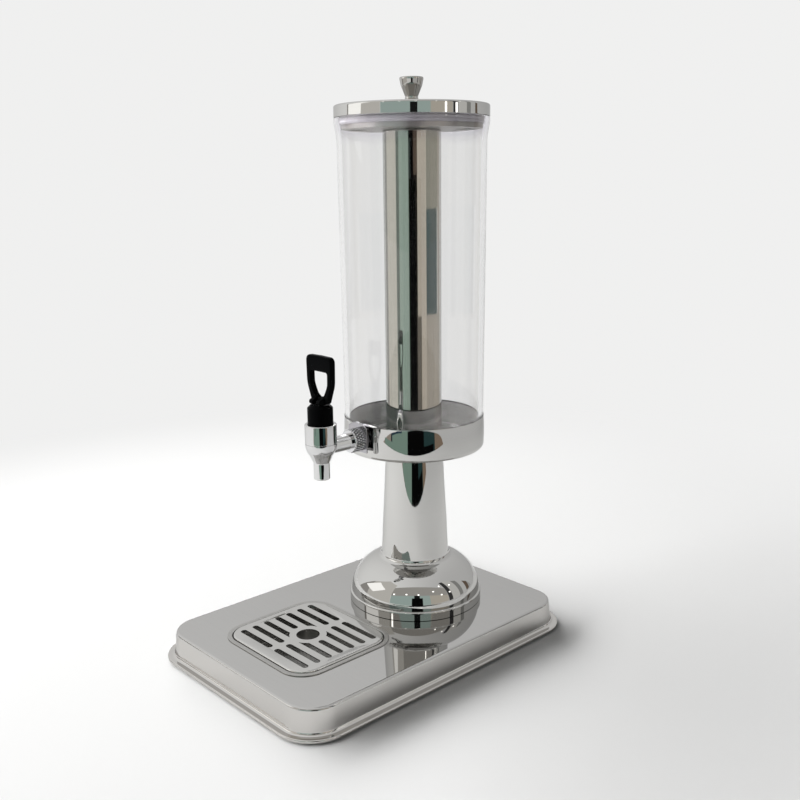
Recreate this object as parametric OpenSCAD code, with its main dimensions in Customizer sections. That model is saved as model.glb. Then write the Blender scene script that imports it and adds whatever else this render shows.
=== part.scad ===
// Single juice dispenser: a clear tank with an ice tube on a polished steel pedestal,
// a self-closing tap, a lift-off lid and a base with a drip tray.
// Origin at the middle of the base on the table, +Z up, the tap towards -Y.

/* [Base] */
// Width of the base pan's deck
base_w = 207; // [190:1:230]
// Length of the base pan's deck
base_l = 302; // [290:1:330]
// Height of the base pan from its flange edge to the deck
base_h = 24; // [22:0.5:34]
// Plan radius of the base corners
base_corner_r = 26.5; // [15:0.5:32]
// Thickness of the base sheet
base_sheet = 1; // [0.8:0.1:1.4]
// Radius of the rounded edge between deck and side
deck_edge_r = 2.5; // [2:0.1:4]
// How far the side leans out from the deck down to the flange
side_draft = 1.7; // [1:0.1:2.2]
// How far the bottom flange stands out beyond the deck
flange_out = 8.5; // [7:0.5:12]
// Height of the flange ledge above the flange edge
flange_h = 2.5; // [2.4:0.1:5]
// Radius of the fillet between side and flange ledge
flange_fillet_r = 3; // [1:0.1:3.5]
// Radius of the rolled outer edge of the flange
flange_lip_r = 1.2; // [1.1:0.1:1.5]
// Height of the flange edge above the table
foot_gap = 1.5; // [1:0.1:4]
// Thickness of the plate that closes the underside
plate_t = 1.2; // [0.8:0.1:1.6]
// Radius of a rubber foot
foot_r = 9; // [6:0.5:12]
// Distance of a foot's centre from the sides of the pan
foot_inset = 24; // [18:1:30]
// Radius of the rivet that holds a foot
rivet_r = 2; // [1.5:0.1:2.5]

/* [Drip tray and grate] */
// Distance of the tray's centre in front of the base centre
tray_forward = 70; // [64:0.5:74]
// Width of the grate
grate_w = 109; // [100:0.5:118]
// Length of the grate from front to back
grate_l = 100; // [96:0.5:110]
// Plan radius of the grate corners
grate_corner_r = 19; // [14:0.5:22]
// Height of the grate's top above the deck
grate_rise = 1.9; // [1.2:0.1:3]
// Thickness of the grate plate
grate_t = 1.2; // [1:0.1:1.5]
// Height of the grate with its turned-down edge
grate_skirt_h = 4.2; // [3.5:0.1:6]
// Radius of the grate's rounded top edge
grate_edge_r = 1.8; // [1.6:0.1:2.4]
// Gap between the grate and the tray rim around it
grate_gap = 0.8; // [0.5:0.1:1.5]
// Width of the tray rim that lies on the deck
tray_rim = 4.1; // [3.5:0.1:7]
// Thickness of the tray sheet
tray_sheet = 0.9; // [0.7:0.1:1.2]
// Width of the ledge that carries the grate
tray_ledge = 5; // [3:0.5:8]
// Gap between the tray and the edge of the deck opening
tray_gap = 0.5; // [0.4:0.1:0.8]
// Gap between the tray floor and the bottom plate
tray_floor_gap = 1; // [0.5:0.1:3]
// Width of a grate slot
slot_w = 5.6; // [4:0.1:7]
// Distance from one grate slot to the next
slot_pitch = 12.3; // [10:0.1:13]
// Distance of a slot's inner end from the middle line
slot_inner = 3; // [2:0.5:5]
// Distance of a slot's outer end from the grate's edge
slot_margin = 8; // [7:0.5:14]
// Radius of the plain hub around the finger hole
hub_r = 16.3; // [14:0.1:19]
// Radius of the finger hole
finger_hole_r = 10.2; // [8:0.1:12]

/* [Pedestal] */
// Distance of the column's axis behind the base centre
column_back = 60; // [56:0.5:66]
// Height of the pedestal from deck to cup
pedestal_h = 148; // [120:1:180]
// Thickness of the pedestal's spun sheet
pedestal_sheet = 1; // [0.8:0.1:1.5]
// Radius of the foot at the deck
foot_flange_r = 62.2; // [58:0.1:66]
// Height of the upright band at the bottom of the foot
foot_band_h = 8.5; // [6:0.5:12]
// Radius of the shoulder between band and dome
foot_shoulder_r = 1.6; // [1.6:0.1:2.5]
// Radius of the dome's curve
dome_r = 35.5; // [33:0.5:38]
// Radius of the cove between dome and column
cove_r = 5; // [3:0.5:8]
// Radius that the column's taper reaches at the deck
column_bottom_r = 34; // [33:0.1:37]
// Radius of the column under the cup
column_top_r = 26.1; // [24:0.1:29]
// Thickness of the plate in the column's head
head_t = 3; // [2:0.5:5]
// Radius of the stiffening plate under the deck
backing_r = 50; // [40:1:54]
// Thickness of the stiffening plate
backing_t = 3; // [2:0.5:4]
// Radius of the tie rod
rod_r = 5; // [4:0.1:6]
// Thickness of the tie rod's washer
washer_t = 2; // [1:0.5:3]
// Height of the tie rod's nut
nut_h = 6; // [4:0.5:7]

/* [Cup and tank] */
// Outer radius of the steel cup
cup_r = 64.4; // [63:0.1:67]
// Height of the cup
cup_h = 30.2; // [29:0.1:40]
// Thickness of the cup's sheet
cup_sheet = 0.8; // [0.6:0.1:1.2]
// Radius of the cup's bottom edge
cup_bottom_r = 4; // [2:0.5:6]
// Gap between the cup and the tank
tank_fit = 0.2; // [0.1:0.05:0.4]
// Height of the tank
tank_h = 289.6; // [240:1:340]
// Thickness of the tank wall
tank_wall = 3.8; // [3:0.1:4.5]
// Thickness of the tank floor
tank_floor_t = 3.2; // [3:0.1:3.4]
// How much wider the tank is under its lip than in the cup
tank_draft = 1.8; // [0.5:0.1:2]
// How far the tank's lip flares out beyond the wall below it
lip_flare = 2.2; // [1.5:0.1:2.4]
// Height of the flared lip
lip_h = 18; // [12:1:24]
// Thickness of the silicone gaskets under the tank and under the ice tube
gasket_t = 1.5; // [1:0.1:2.5]
// Outer radius of the gasket under the tank
gasket_r = 30; // [26:1:40]

/* [Ice tube] */
// Outer radius of the ice tube
tube_r = 25.4; // [22:0.1:28]
// Thickness of the ice tube's wall
tube_wall = 0.8; // [0.6:0.1:1.5]
// Thickness of the threaded plug in the ice tube's bottom
plug_t = 10; // [8:0.5:14]
// Depth of the thread in the plug
plug_thread = 8; // [6:0.5:8]
// Gap between the ice tube and the lid
tube_lid_gap = 0.5; // [0.4:0.1:2]

/* [Lid] */
// How far the lid stands out beyond the tank's lip
lid_overhang = 0; // [0:0.1:3]
// Height of the lid cap
lid_h = 10.3; // [9:0.1:14]
// Thickness of the lid's sheet
lid_sheet = 0.8; // [0.6:0.1:1.2]
// Radius of the lid's top edge
lid_edge_r = 1.8; // [1.5:0.1:5]
// How far the liner hangs below the lid's edge
liner_drop = 10; // [8:0.5:14]
// Gap between the seal on the liner and the tank
seal_gap = 0.5; // [0.4:0.1:0.8]
// Thickness of the seal on the liner
seal_t = 1.6; // [1:0.1:2.5]
// Height of the seal on the liner
seal_h = 6; // [4:0.5:7]
// Radius of a vent hole in the liner
vent_r = 8; // [4:0.5:9]
// Distance of the vent holes from the lid's axis
vent_circle_r = 46; // [42:0.5:48]
// Height of the knob
knob_h = 23; // [18:0.5:28]
// Radius of the knob's top
knob_top_r = 10.3; // [9:0.1:13]
// Radius of the knob's waist
knob_waist_r = 5.4; // [4.5:0.1:6.2]
// Radius of the knob's foot
knob_foot_r = 6.4; // [6.3:0.1:9]
// Height of the knob's waist above the lid
knob_waist_h = 9; // [8:0.5:12]
// Radius of the knob's belly
knob_belly_r = 9.4; // [8:0.1:10.2]
// Height of the knob's belly above the lid
knob_belly_h = 16; // [14:0.5:18]
// Radius of the screw that holds the knob
knob_screw_r = 2.5; // [2:0.1:3]
// Depth of the knob's threaded hole
knob_thread = 12; // [8:0.5:15]

/* [Tap] */
// Distance from the column's axis to the tap's axis
tap_reach = 109.3; // [104:0.5:118]
// Height of the tap's shank above the cup's underside
tap_rise = 18.3; // [18.1:0.1:18.6]
// Radius of the threaded shank
shank_r = 7; // [6.5:0.1:7.5]
// Radius of the juice way through the shank
shank_bore_r = 4.5; // [3:0.1:5]
// Radius of the tap body
body_r = 13.6; // [13.2:0.1:15]
// Height of the seam between band and bowl above the shank's axis
seam_rise = 4.9; // [4.5:0.1:6]
// Height of the plain band above the seam
band_h = 16.5; // [15:0.5:20]
// Height of the bowl below the seam
bowl_h = 17.5; // [16.5:0.5:19]
// Radius of the bowl's upper curve
bowl_curve_r = 17; // [16:0.5:20]
// Length of the spout below the bowl
spout_len = 14.5; // [10:0.5:20]
// Outer radius of the spout
spout_r = 7; // [6:0.1:7.4]
// Radius of the spout's bore
spout_bore_r = 4.4; // [3:0.1:5]
// Radius of the valve chamber
chamber_r = 8.2; // [7.8:0.1:8.6]
// Height of the black bonnet above the tap body
bonnet_h = 16.8; // [12:0.1:18]
// Thickness of the bonnet's wall
bonnet_wall = 2.2; // [1.8:0.1:2.6]
// Height of the slope around the bonnet's top
bonnet_chamfer = 2.7; // [1:0.1:3]
// Thickness of the bonnet's roof
bonnet_roof = 5; // [4:0.5:7]
// Wall of the tap body around the bonnet
socket_wall = 2.6; // [2:0.1:3]
// Radius of the knurled collar on the shank
collar_r = 10.7; // [10:0.1:11.5]
// Length of the knurled collar
collar_len = 10.5; // [6:0.5:12]
// Number of grooves around the knurled collar
collar_grooves = 28; // [20:1:36]
// Width of the saddle washer's plate
saddle_w = 24; // [22:0.5:26]
// Distance from the shank's axis down to the saddle washer's straight bottom edge
saddle_low = 11; // [10:0.1:12]
// Distance from the shank's axis up to the middle of the saddle washer's rounded top edge
saddle_high = 15.3; // [13:0.1:16]
// Radius of the saddle washer's top edge
saddle_top_r = 18.7; // [16:0.1:24]
// Thickness of the saddle washer's plate
saddle_plate_t = 1.2; // [1:0.1:1.6]
// Thickness of the saddle washer at its middle, with the boss behind the plate
saddle_t = 3.2; // [2:0.1:5]
// Radius of the boss behind the plate, hollowed to the cup
saddle_boss_r = 9; // [8.5:0.1:10]
// Thickness of the seals on both sides of the tank wall
seal_pad_t = 1; // [0.6:0.1:1.5]
// Radius across the corners of the lock nut inside the tank
lock_nut_r = 10.6; // [9.5:0.1:10.8]
// Thickness of the lock nut
lock_nut_t = 7; // [5:0.5:9]
// Radius of the seal between the lock nut and the tank wall
inner_seal_r = 12; // [11:0.1:12]

/* [Valve and lever] */
// Radius of the valve stem
stem_r = 2.5; // [2.2:0.1:2.8]
// Running clearance around the stem and the lever pin
running_fit = 0.05; // [0.02:0.01:0.1]
// Radius of the spring seat on the stem
stem_flange_r = 6.6; // [6.4:0.1:7]
// Thickness of the spring seat
stem_flange_t = 1.5; // [1:0.1:2]
// Radius of the spring's coil at the middle of the wire
spring_r = 5.4; // [5:0.1:6]
// Radius of the spring's wire
spring_wire_r = 0.45; // [0.3:0.05:0.6]
// Number of turns of the spring
spring_turns = 8; // [5:1:10]
// Radius of the lever pin
pin_r = 1; // [0.8:0.05:1.1]
// Radius of the lever's foot around the pin and at its toe
toe_r = 2.2; // [2:0.1:3]
// Distance of the lever's toe in front of the pin
toe_reach = 4; // [3:0.1:5]
// Gap between the lever's foot and the bonnet
toe_gap = 0.3; // [0.3:0.05:0.6]
// Width of the lever's foot
lever_foot_w = 15; // [12:0.5:17]
// Half width of the slot in the lever's foot for the stem
lever_slot = 2.3; // [2.3:0.1:2.8]
// Thickness of the lever's loop
lever_t = 5.5; // [4:0.1:7]
// How far the lever's loop stands behind its pin
lever_back = 1.8; // [0:0.1:2]
// Height of the lever above its pin
lever_h = 39; // [36:0.1:50]
// Width of the lever's loop at the grip
loop_w = 33.5; // [30:0.5:38]
// Width of the loop at its lower bend
loop_bend_w = 28.4; // [26:0.2:30]
// Height of the loop's lower bend above the pin
loop_bend_h = 11.5; // [10.5:0.1:14]
// Width of one side of the loop
loop_bar = 5.6; // [4:0.1:7]
// Height of the grip across the top of the loop
grip_h = 13.5; // [8:0.1:15]
// Height of the lower end of the finger opening above the pin
loop_low = 3; // [2.8:0.1:5]

/* [Hidden] */
$fn = 96;
fine = 480;
eps = 0.01;

// Levels above the table, from the bottom to the top
deck_z = foot_gap + base_h;
plate_z = foot_gap + flange_h - base_sheet - plate_t;
backing_z = deck_z - base_sheet - backing_t;
cup_z = deck_z + pedestal_h;
tank_z = cup_z + cup_sheet + gasket_t;
tank_floor_z = tank_z + tank_floor_t;
plug_z = tank_floor_z + gasket_t;
tank_top_z = tank_z + tank_h;
liner_z = tank_top_z - liner_drop;
tube_top_z = liner_z - tube_lid_gap;
lid_top_z = tank_top_z + lid_h;

// Places in plan
tray_y = -tray_forward;
tap_y = column_back - tap_reach;
tap_z = cup_z + tap_rise;

// Base
plate_out = flange_out - flange_lip_r;

// Drip tray and grate
grate_top_z = deck_z + grate_rise;
ledge_z = grate_top_z - grate_skirt_h;
tray_floor_z = plate_z + plate_t + tray_floor_gap;
recess_w = grate_w + 2 * grate_gap;
recess_l = grate_l + 2 * grate_gap;
recess_r = grate_corner_r + grate_gap;
well_w = recess_w - 2 * tray_ledge;
well_l = recess_l - 2 * tray_ledge;
well_r = recess_r - tray_ledge;
slot_rows = floor((grate_l / 2 - slot_margin) / slot_pitch);

// Pedestal taper and the centre of its cove
taper = (column_bottom_r - column_top_r) / pedestal_h;
slant = sqrt(1 + taper * taper);
dome_x = foot_flange_r - foot_shoulder_r - dome_r;
dome_y = foot_band_h - foot_shoulder_r;
cove_m = column_bottom_r + cove_r * slant - dome_x;
cove_b = cove_m * taper + dome_y;
cove_c = cove_m * cove_m + dome_y * dome_y - (dome_r + cove_r) * (dome_r + cove_r);
cove_y = (cove_b + sqrt(cove_b * cove_b - slant * slant * cove_c)) / (slant * slant);
cove_x = column_bottom_r - taper * cove_y + cove_r * slant;
head_r = column_top_r - pedestal_sheet * slant;
cove_deep = 2;
cove_bite = 0.02;
hole_clear = 0.3;
rod_tail = 2;

// Tank
tank_r = cup_r - cup_sheet - tank_fit;
tank_neck_r = tank_r + tank_draft;
lip_r = tank_neck_r + lip_flare;
lip_band = 4;
bottom_curve_r = cup_bottom_r + tank_fit;
inside_curve_r = 1;
mouth_r = lip_r - tank_wall;

// Lid
lid_r = lid_overhang + lip_r;
seal_r = tank_neck_r + lip_flare * (lip_h - seal_h) / (lip_h - lip_band) - tank_wall - seal_gap;
liner_r = seal_r - seal_t;
liner_edge_r = lid_r - lid_sheet;
knob_cap_h = 2;
knob_cap_r = 1;
knob_foot_h = 1.5;
screw_head_h = 2.6;
screw_head_r = 2 * knob_screw_r;

// Tap levels
seam_z = tap_z + seam_rise;
bowl_z = seam_z - bowl_h;
spout_z = bowl_z - spout_len;
body_top_z = seam_z + band_h;
socket_rise = 8;
socket_z = seam_z + socket_rise;
bonnet_z = body_top_z + bonnet_h;
bonnet_fit = 0.1;
bonnet_r = body_r - socket_wall - bonnet_fit;
bonnet_roof_z = bonnet_z - bonnet_roof;
groove = 0.4;
cone_drop = 10.4;
cone_top_z = seam_z - cone_drop;
cone_top_r = body_r - bowl_curve_r + sqrt(pow(bowl_curve_r, 2) - pow(cone_drop, 2));
seat_floor = 3;
seat_h = 4.6;
seat_low_z = bowl_z + seat_floor;
seat_top_z = seat_low_z + seat_h;
seat_gap = 0.5;
seat_slope = (chamber_r - spout_bore_r) / seat_h;
seat_washer_gap = 0.8;
seat_washer_h = 6.6;
seat_washer_r = chamber_r - seat_washer_gap;
seat_washer_z = seat_low_z + seat_washer_h;

// Shank with its fittings, as distances in front of the column's axis
outer_seal_y = cup_r + seal_pad_t;
saddle_y = outer_seal_y + saddle_t;
wall_in_y = tank_r - tank_wall;
wall_bulge = 1.2;
pad_gap = 0.1;
shank_tail = 2;
inner_seal_y = wall_in_y - wall_bulge - seal_pad_t;
shank_end_y = inner_seal_y - lock_nut_t - shank_tail;
knurl_r = 0.7;

// Valve and lever
spring_low_z = seat_washer_z + stem_flange_t;
pin_z = bonnet_z + toe_gap + toe_r;
tongue_gap = 0.3;
tongue_sunk = 3.5;
stem_start = 3;
tongue_half = lever_slot - tongue_gap;
tongue_z = bonnet_z - tongue_sunk;
eye_r = 1.6;
slot_roof = 0.4;
loop_in = loop_w - 2 * loop_bar;
loop_corner_r = 4.5;
loop_bend_r = 10;
opening_corner_r = 2.5;
opening_bend_r = 10;
opening_bend_drop = 8;
opening_low_r = 5;
opening_top = lever_h - grip_h;

// Flat rectangle with rounded corners
module rounded_rect(w, l, r) {
    square([w - 2 * r, l], center = true);
    square([w, l - 2 * r], center = true);
    for (x = [-1, 1], y = [-1, 1])
        translate([x * (w / 2 - r), y * (l / 2 - r)]) circle(r);
}

// Plate with rounded corners that stands on level z
module rounded_plate(w, l, r, z, h) {
    translate([0, 0, z]) linear_extrude(h) rounded_rect(w, l, r);
}

// Profile carried once around a rounded rectangle; its x runs outwards from the outline
module carry_round(w, l, r) {
    for (i = [0:3]) {
        along = i % 2 == 0 ? l : w;
        across = i % 2 == 0 ? w : l;
        rotate(90 * i) translate([across / 2, along / 2 - r, 0]) rotate([90, 0, 0])
            linear_extrude(along - 2 * r) children();
        rotate(90 * i) translate([across / 2 - r, along / 2 - r, 0])
            rotate_extrude(angle = 90) translate([r, 0]) children();
    }
}

// Quarter of a flat ring in the quadrant that sx and sy name
module quarter_ring(ro, ri, sx, sy) {
    intersection() {
        difference() {
            circle(ro);
            circle(ri);
        }
        translate([sx > 0 ? 0 : -ro, sy > 0 ? 0 : -ro]) square(ro);
    }
}

// Half profile of a cup with a rounded bottom edge
module cup_profile(r, h, edge) {
    translate([0, edge]) square([r, h - edge]);
    square([r - edge, edge + eps]);
    translate([r - edge, edge]) intersection() {
        circle(edge);
        translate([0, -edge]) square(edge);
    }
}

module at_column(z) {
    translate([0, column_back, z]) children();
}

module at_tap(z) {
    translate([0, tap_y, z]) children();
}

// Lays a solid made along +Z on the shank's axis, from the column towards the tap
module on_shank(distance) {
    translate([0, column_back - distance, tap_z]) rotate([90, 0, 0]) children();
}

// Section of the pan: deck, rounded edge, leaning side, fillet, ledge and rolled lip
module pan_profile() {
    side_top = base_h - deck_edge_r;
    side_low = flange_h + flange_fillet_r;
    ledge_x = side_draft + flange_fillet_r;
    translate([-base_corner_r, base_h - base_sheet]) square([base_corner_r - deck_edge_r, base_sheet]);
    translate([-deck_edge_r, side_top]) quarter_ring(deck_edge_r, deck_edge_r - base_sheet, 1, 1);
    polygon([
        [-base_sheet, side_top], [0, side_top], [side_draft, side_low], [side_draft - base_sheet, side_low]
    ]);
    translate([ledge_x, side_low]) quarter_ring(flange_fillet_r + base_sheet, flange_fillet_r, -1, -1);
    translate([ledge_x, flange_h - base_sheet]) square([flange_out - flange_lip_r - ledge_x, base_sheet]);
    translate([flange_out - flange_lip_r, flange_h - flange_lip_r])
        quarter_ring(flange_lip_r, flange_lip_r - base_sheet, 1, 1);
    translate([flange_out - base_sheet, 0]) square([base_sheet, flange_h - flange_lip_r]);
}

module base_shell() {
    color("silver") difference() {
        translate([0, 0, foot_gap]) {
            carry_round(base_w, base_l, base_corner_r) pan_profile();
            translate([0, 0, base_h - base_sheet / 2])
                cube([base_w - 2 * base_corner_r, base_l - 2 * base_corner_r, base_sheet], center = true);
        }
        translate([0, tray_y, 0]) rounded_plate(
            recess_w + 2 * (tray_sheet + tray_gap), recess_l + 2 * (tray_sheet + tray_gap),
            recess_r + tray_sheet + tray_gap, foot_gap + flange_h + 1, base_h
        );
        at_column(foot_gap + flange_h + 1) cylinder(r = rod_r + hole_clear, h = base_h);
    }
}

module bottom_plate() {
    color("gainsboro") difference() {
        rounded_plate(
            base_w + 2 * plate_out, base_l + 2 * plate_out, base_corner_r + plate_out, plate_z, plate_t
        );
        at_feet() translate([0, 0, plate_z - 1]) cylinder(r = rivet_r, h = plate_t + 2);
    }
}

module at_feet() {
    for (x = [-1, 1], y = [-1, 1])
        translate([x * (base_w / 2 - foot_inset), y * (base_l / 2 - foot_inset), 0]) children();
}

module feet() {
    color("dimgray") at_feet() difference() {
        cylinder(r = foot_r, h = plate_z);
        translate([0, 0, -1]) cylinder(r = 2 * rivet_r, h = plate_z / 2 + 1);
        translate([0, 0, -1]) cylinder(r = rivet_r, h = plate_z + 2);
    }
}

module foot_rivets() {
    head = plate_z / 3;
    color("lightgray") at_feet() {
        translate([0, 0, plate_z / 2 - head]) cylinder(r = 1.8 * rivet_r, h = head);
        translate([0, 0, plate_z / 2 - eps]) cylinder(r = rivet_r, h = plate_z / 2 + plate_t + eps);
        translate([0, 0, plate_z + plate_t]) cylinder(r = 1.6 * rivet_r, h = 0.8);
    }
}

module backing_plate() {
    color("darkgray") at_column(backing_z) difference() {
        cylinder(r = backing_r, h = backing_t);
        translate([0, 0, -1]) cylinder(r = rod_r + hole_clear, h = backing_t + 2);
    }
}

// Filled half outline of the pedestal: band, shoulder, dome, cove and tapering column
module pedestal_outline(inset) {
    dome = [dome_x, dome_y];
    cove = [cove_x, cove_y];
    to_column = [-1, -taper] / slant;
    to_dome = (dome - cove) / norm(dome - cove);
    deep = cove_r + inset + cove_deep;
    top = pedestal_h + inset;
    translate([0, -inset]) square([foot_flange_r - inset, dome_y + inset]);
    translate([0, dome_y]) square([dome_x + dome_r, foot_shoulder_r - inset]);
    translate([dome_x + dome_r, dome_y]) circle(foot_shoulder_r - inset);
    intersection() {
        translate(dome) circle(dome_r - inset);
        translate([dome_x / 2, dome_y]) square(2 * dome_r);
    }
    polygon([
        [0, 0], [column_bottom_r - inset * slant, 0],
        [column_bottom_r - taper * top - inset * slant, top], [0, top]
    ]);
    difference() {
        polygon([cove, cove + deep * to_column, cove + deep * (to_column + to_dome), cove + deep * to_dome]);
        translate(cove) circle(cove_r + inset + cove_bite);
    }
}

module pedestal() {
    color("silver") at_column(deck_z) rotate_extrude() difference() {
        pedestal_outline(0);
        pedestal_outline(pedestal_sheet);
    }
}

module column_head() {
    color("darkgray") at_column(cup_z - head_t) difference() {
        cylinder(r1 = head_r + taper * head_t, r2 = head_r, h = head_t);
        translate([0, 0, -1]) cylinder(r = rod_r + hole_clear, h = head_t + 2);
    }
}

module tie_rod() {
    low = backing_z - washer_t - nut_h - rod_tail;
    color("gray") at_column(low) cylinder(r = rod_r, h = plug_z + plug_thread - low);
}

module tie_rod_washer() {
    color("lightgray") at_column(backing_z - washer_t) difference() {
        cylinder(r = 2.4 * rod_r, h = washer_t);
        translate([0, 0, -1]) cylinder(r = rod_r + hole_clear, h = washer_t + 2);
    }
}

module tie_rod_nut() {
    color("lightgray") at_column(backing_z - washer_t - nut_h) difference() {
        cylinder(r = 1.9 * rod_r, h = nut_h, $fn = 6);
        translate([0, 0, -1]) cylinder(r = rod_r, h = nut_h + 2);
    }
}

module cup() {
    color("silver") difference() {
        at_column(cup_z) rotate_extrude() difference() {
            cup_profile(cup_r, cup_h, cup_bottom_r);
            translate([0, cup_sheet]) cup_profile(cup_r - cup_sheet, cup_h, cup_bottom_r - cup_sheet);
        }
        at_column(cup_z - 1) cylinder(r = rod_r + hole_clear, h = cup_sheet + 2);
        on_shank(tank_r - tank_wall) cylinder(r = shank_r + hole_clear, h = cup_r);
    }
}

module tank_gasket() {
    color("whitesmoke") at_column(cup_z + cup_sheet) difference() {
        cylinder(r = gasket_r, h = gasket_t);
        translate([0, 0, -1]) cylinder(r = rod_r + hole_clear, h = gasket_t + 2);
    }
}

// Half profile of the tank's wall and lip; the wall is straight inside the cup and then widens
module tank_profile(inset, low, edge) {
    cup_top = cup_h - cup_sheet - gasket_t;
    translate([0, low]) cup_profile(tank_r - inset, cup_top - low, edge);
    polygon([
        [0, cup_top - 1], [tank_r - inset - 1, cup_top - 1], [tank_r - inset, cup_top],
        [tank_neck_r - inset, tank_h - lip_h],
        [lip_r - inset, tank_h - lip_band], [lip_r - inset, tank_h + (inset > 0 ? 1 : 0)],
        [0, tank_h + (inset > 0 ? 1 : 0)]
    ]);
}

module tank() {
    color("lightcyan", 0.35) difference() {
        at_column(tank_z) rotate_extrude() difference() {
            tank_profile(0, 0, bottom_curve_r);
            tank_profile(tank_wall, tank_floor_t, inside_curve_r);
        }
        at_column(tank_z - 1) cylinder(r = rod_r + hole_clear, h = tank_floor_t + 2);
        on_shank(tank_r - 2 * tank_wall) cylinder(r = shank_r + hole_clear, h = cup_r);
    }
}

module tube_gasket() {
    color("whitesmoke") at_column(tank_floor_z) difference() {
        cylinder(r = tube_r, h = gasket_t);
        translate([0, 0, -1]) cylinder(r = rod_r + hole_clear, h = gasket_t + 2);
    }
}

module tube_plug() {
    color("darkgray") at_column(plug_z) difference() {
        cylinder(r = tube_r - tube_wall, h = plug_t);
        translate([0, 0, -1]) cylinder(r = rod_r, h = plug_thread + 1);
    }
}

module ice_tube() {
    color("silver") at_column(plug_z) difference() {
        cylinder(r = tube_r, h = tube_top_z - plug_z);
        translate([0, 0, -1]) cylinder(r = tube_r - tube_wall, h = tube_top_z - plug_z + 2);
    }
}

// Half profile of the tap body: spout, cone, curved bowl and band with a seam groove
module tap_profile() {
    lap = 1;
    cone_lap_r = cone_top_r + lap * (cone_top_r - spout_r) / (cone_top_z - bowl_z);
    polygon([
        [0, spout_z], [spout_r, spout_z], [spout_r, bowl_z],
        [cone_lap_r, cone_top_z + lap], [0, cone_top_z + lap]
    ]);
    intersection() {
        translate([body_r - bowl_curve_r, seam_z]) circle(bowl_curve_r);
        translate([lap, cone_top_z - lap]) square([body_r - lap, seam_z - cone_top_z + lap]);
    }
    translate([0, seam_z - groove]) square([body_r - groove, 3 * groove]);
    translate([0, seam_z + groove]) square([body_r, band_h - groove]);
}

module tap_body() {
    chamber = [
        [0, spout_z - 1], [spout_bore_r, spout_z - 1], [spout_bore_r, seat_low_z], [chamber_r, seat_top_z],
        [chamber_r, socket_z], [body_r - socket_wall, socket_z], [body_r - socket_wall, body_top_z + 1],
        [0, body_top_z + 1]
    ];
    color("silver") difference() {
        union() {
            at_tap(0) rotate_extrude() tap_profile();
            on_shank(shank_end_y) cylinder(r = shank_r, h = tap_reach - shank_end_y);
        }
        at_tap(0) rotate_extrude() polygon(chamber);
        on_shank(shank_end_y - 1) cylinder(r = shank_bore_r, h = tap_reach - shank_end_y + 1);
    }
}

// Upright round about the column's axis that hollows the fittings on the shank to the cup's curve
module cup_curve(r) {
    at_column(cup_z - cup_h) cylinder(r = r, h = 3 * cup_h, $fn = fine);
}

// Outline of the saddle washer's plate about the shank's axis: straight sides and bottom, rounded top
module saddle_outline() {
    intersection() {
        translate([-saddle_w / 2, -saddle_low]) square([saddle_w, saddle_low + saddle_high + 1]);
        translate([0, saddle_high - saddle_top_r]) circle(saddle_top_r, $fn = fine);
    }
}

module saddle_washer() {
    color("silver") difference() {
        union() {
            on_shank(cup_r / 2) cylinder(r = saddle_boss_r, h = saddle_y - saddle_plate_t / 2 - cup_r / 2);
            on_shank(saddle_y - saddle_plate_t) linear_extrude(saddle_plate_t) saddle_outline();
        }
        cup_curve(outer_seal_y);
        on_shank(0) cylinder(r = shank_r, h = tap_reach);
    }
}

module outer_seal() {
    color("dimgray") difference() {
        intersection() {
            on_shank(cup_r / 2) cylinder(r = saddle_boss_r, h = cup_r);
            cup_curve(outer_seal_y);
        }
        cup_curve(cup_r);
        on_shank(0) cylinder(r = shank_r, h = tap_reach);
    }
}

module knurled_collar() {
    color("silver") difference() {
        on_shank(saddle_y) cylinder(r = collar_r, h = collar_len);
        on_shank(saddle_y - 1) cylinder(r = shank_r, h = collar_len + 2);
        for (i = [0:collar_grooves - 1])
            on_shank(saddle_y - 1) rotate(360 * i / collar_grooves) translate([collar_r, 0, 0])
                cylinder(r = knurl_r, h = collar_len + 2);
    }
}

module inner_seal() {
    color("whitesmoke") difference() {
        intersection() {
            on_shank(inner_seal_y) cylinder(r = inner_seal_r, h = tank_r);
            at_column(cup_z) cylinder(r = wall_in_y - pad_gap, h = 2 * cup_h, $fn = fine);
        }
        on_shank(inner_seal_y - 1) cylinder(r = shank_r, h = tank_r);
    }
}

module lock_nut() {
    color("whitesmoke") difference() {
        on_shank(inner_seal_y - lock_nut_t) cylinder(r = lock_nut_r, h = lock_nut_t, $fn = 6);
        on_shank(inner_seal_y - lock_nut_t - 1) cylinder(r = shank_r, h = lock_nut_t + 2);
    }
}

module bonnet() {
    color([0.05, 0.05, 0.05]) at_tap(0) rotate_extrude() difference() {
        polygon([
            [0, socket_z], [bonnet_r, socket_z], [bonnet_r, bonnet_z - bonnet_chamfer],
            [bonnet_r - bonnet_chamfer, bonnet_z], [0, bonnet_z]
        ]);
        translate([0, socket_z - 1]) square([bonnet_r - bonnet_wall, bonnet_roof_z - socket_z + 1]);
        translate([0, socket_z]) square([stem_r + running_fit, bonnet_z]);
    }
}

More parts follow.
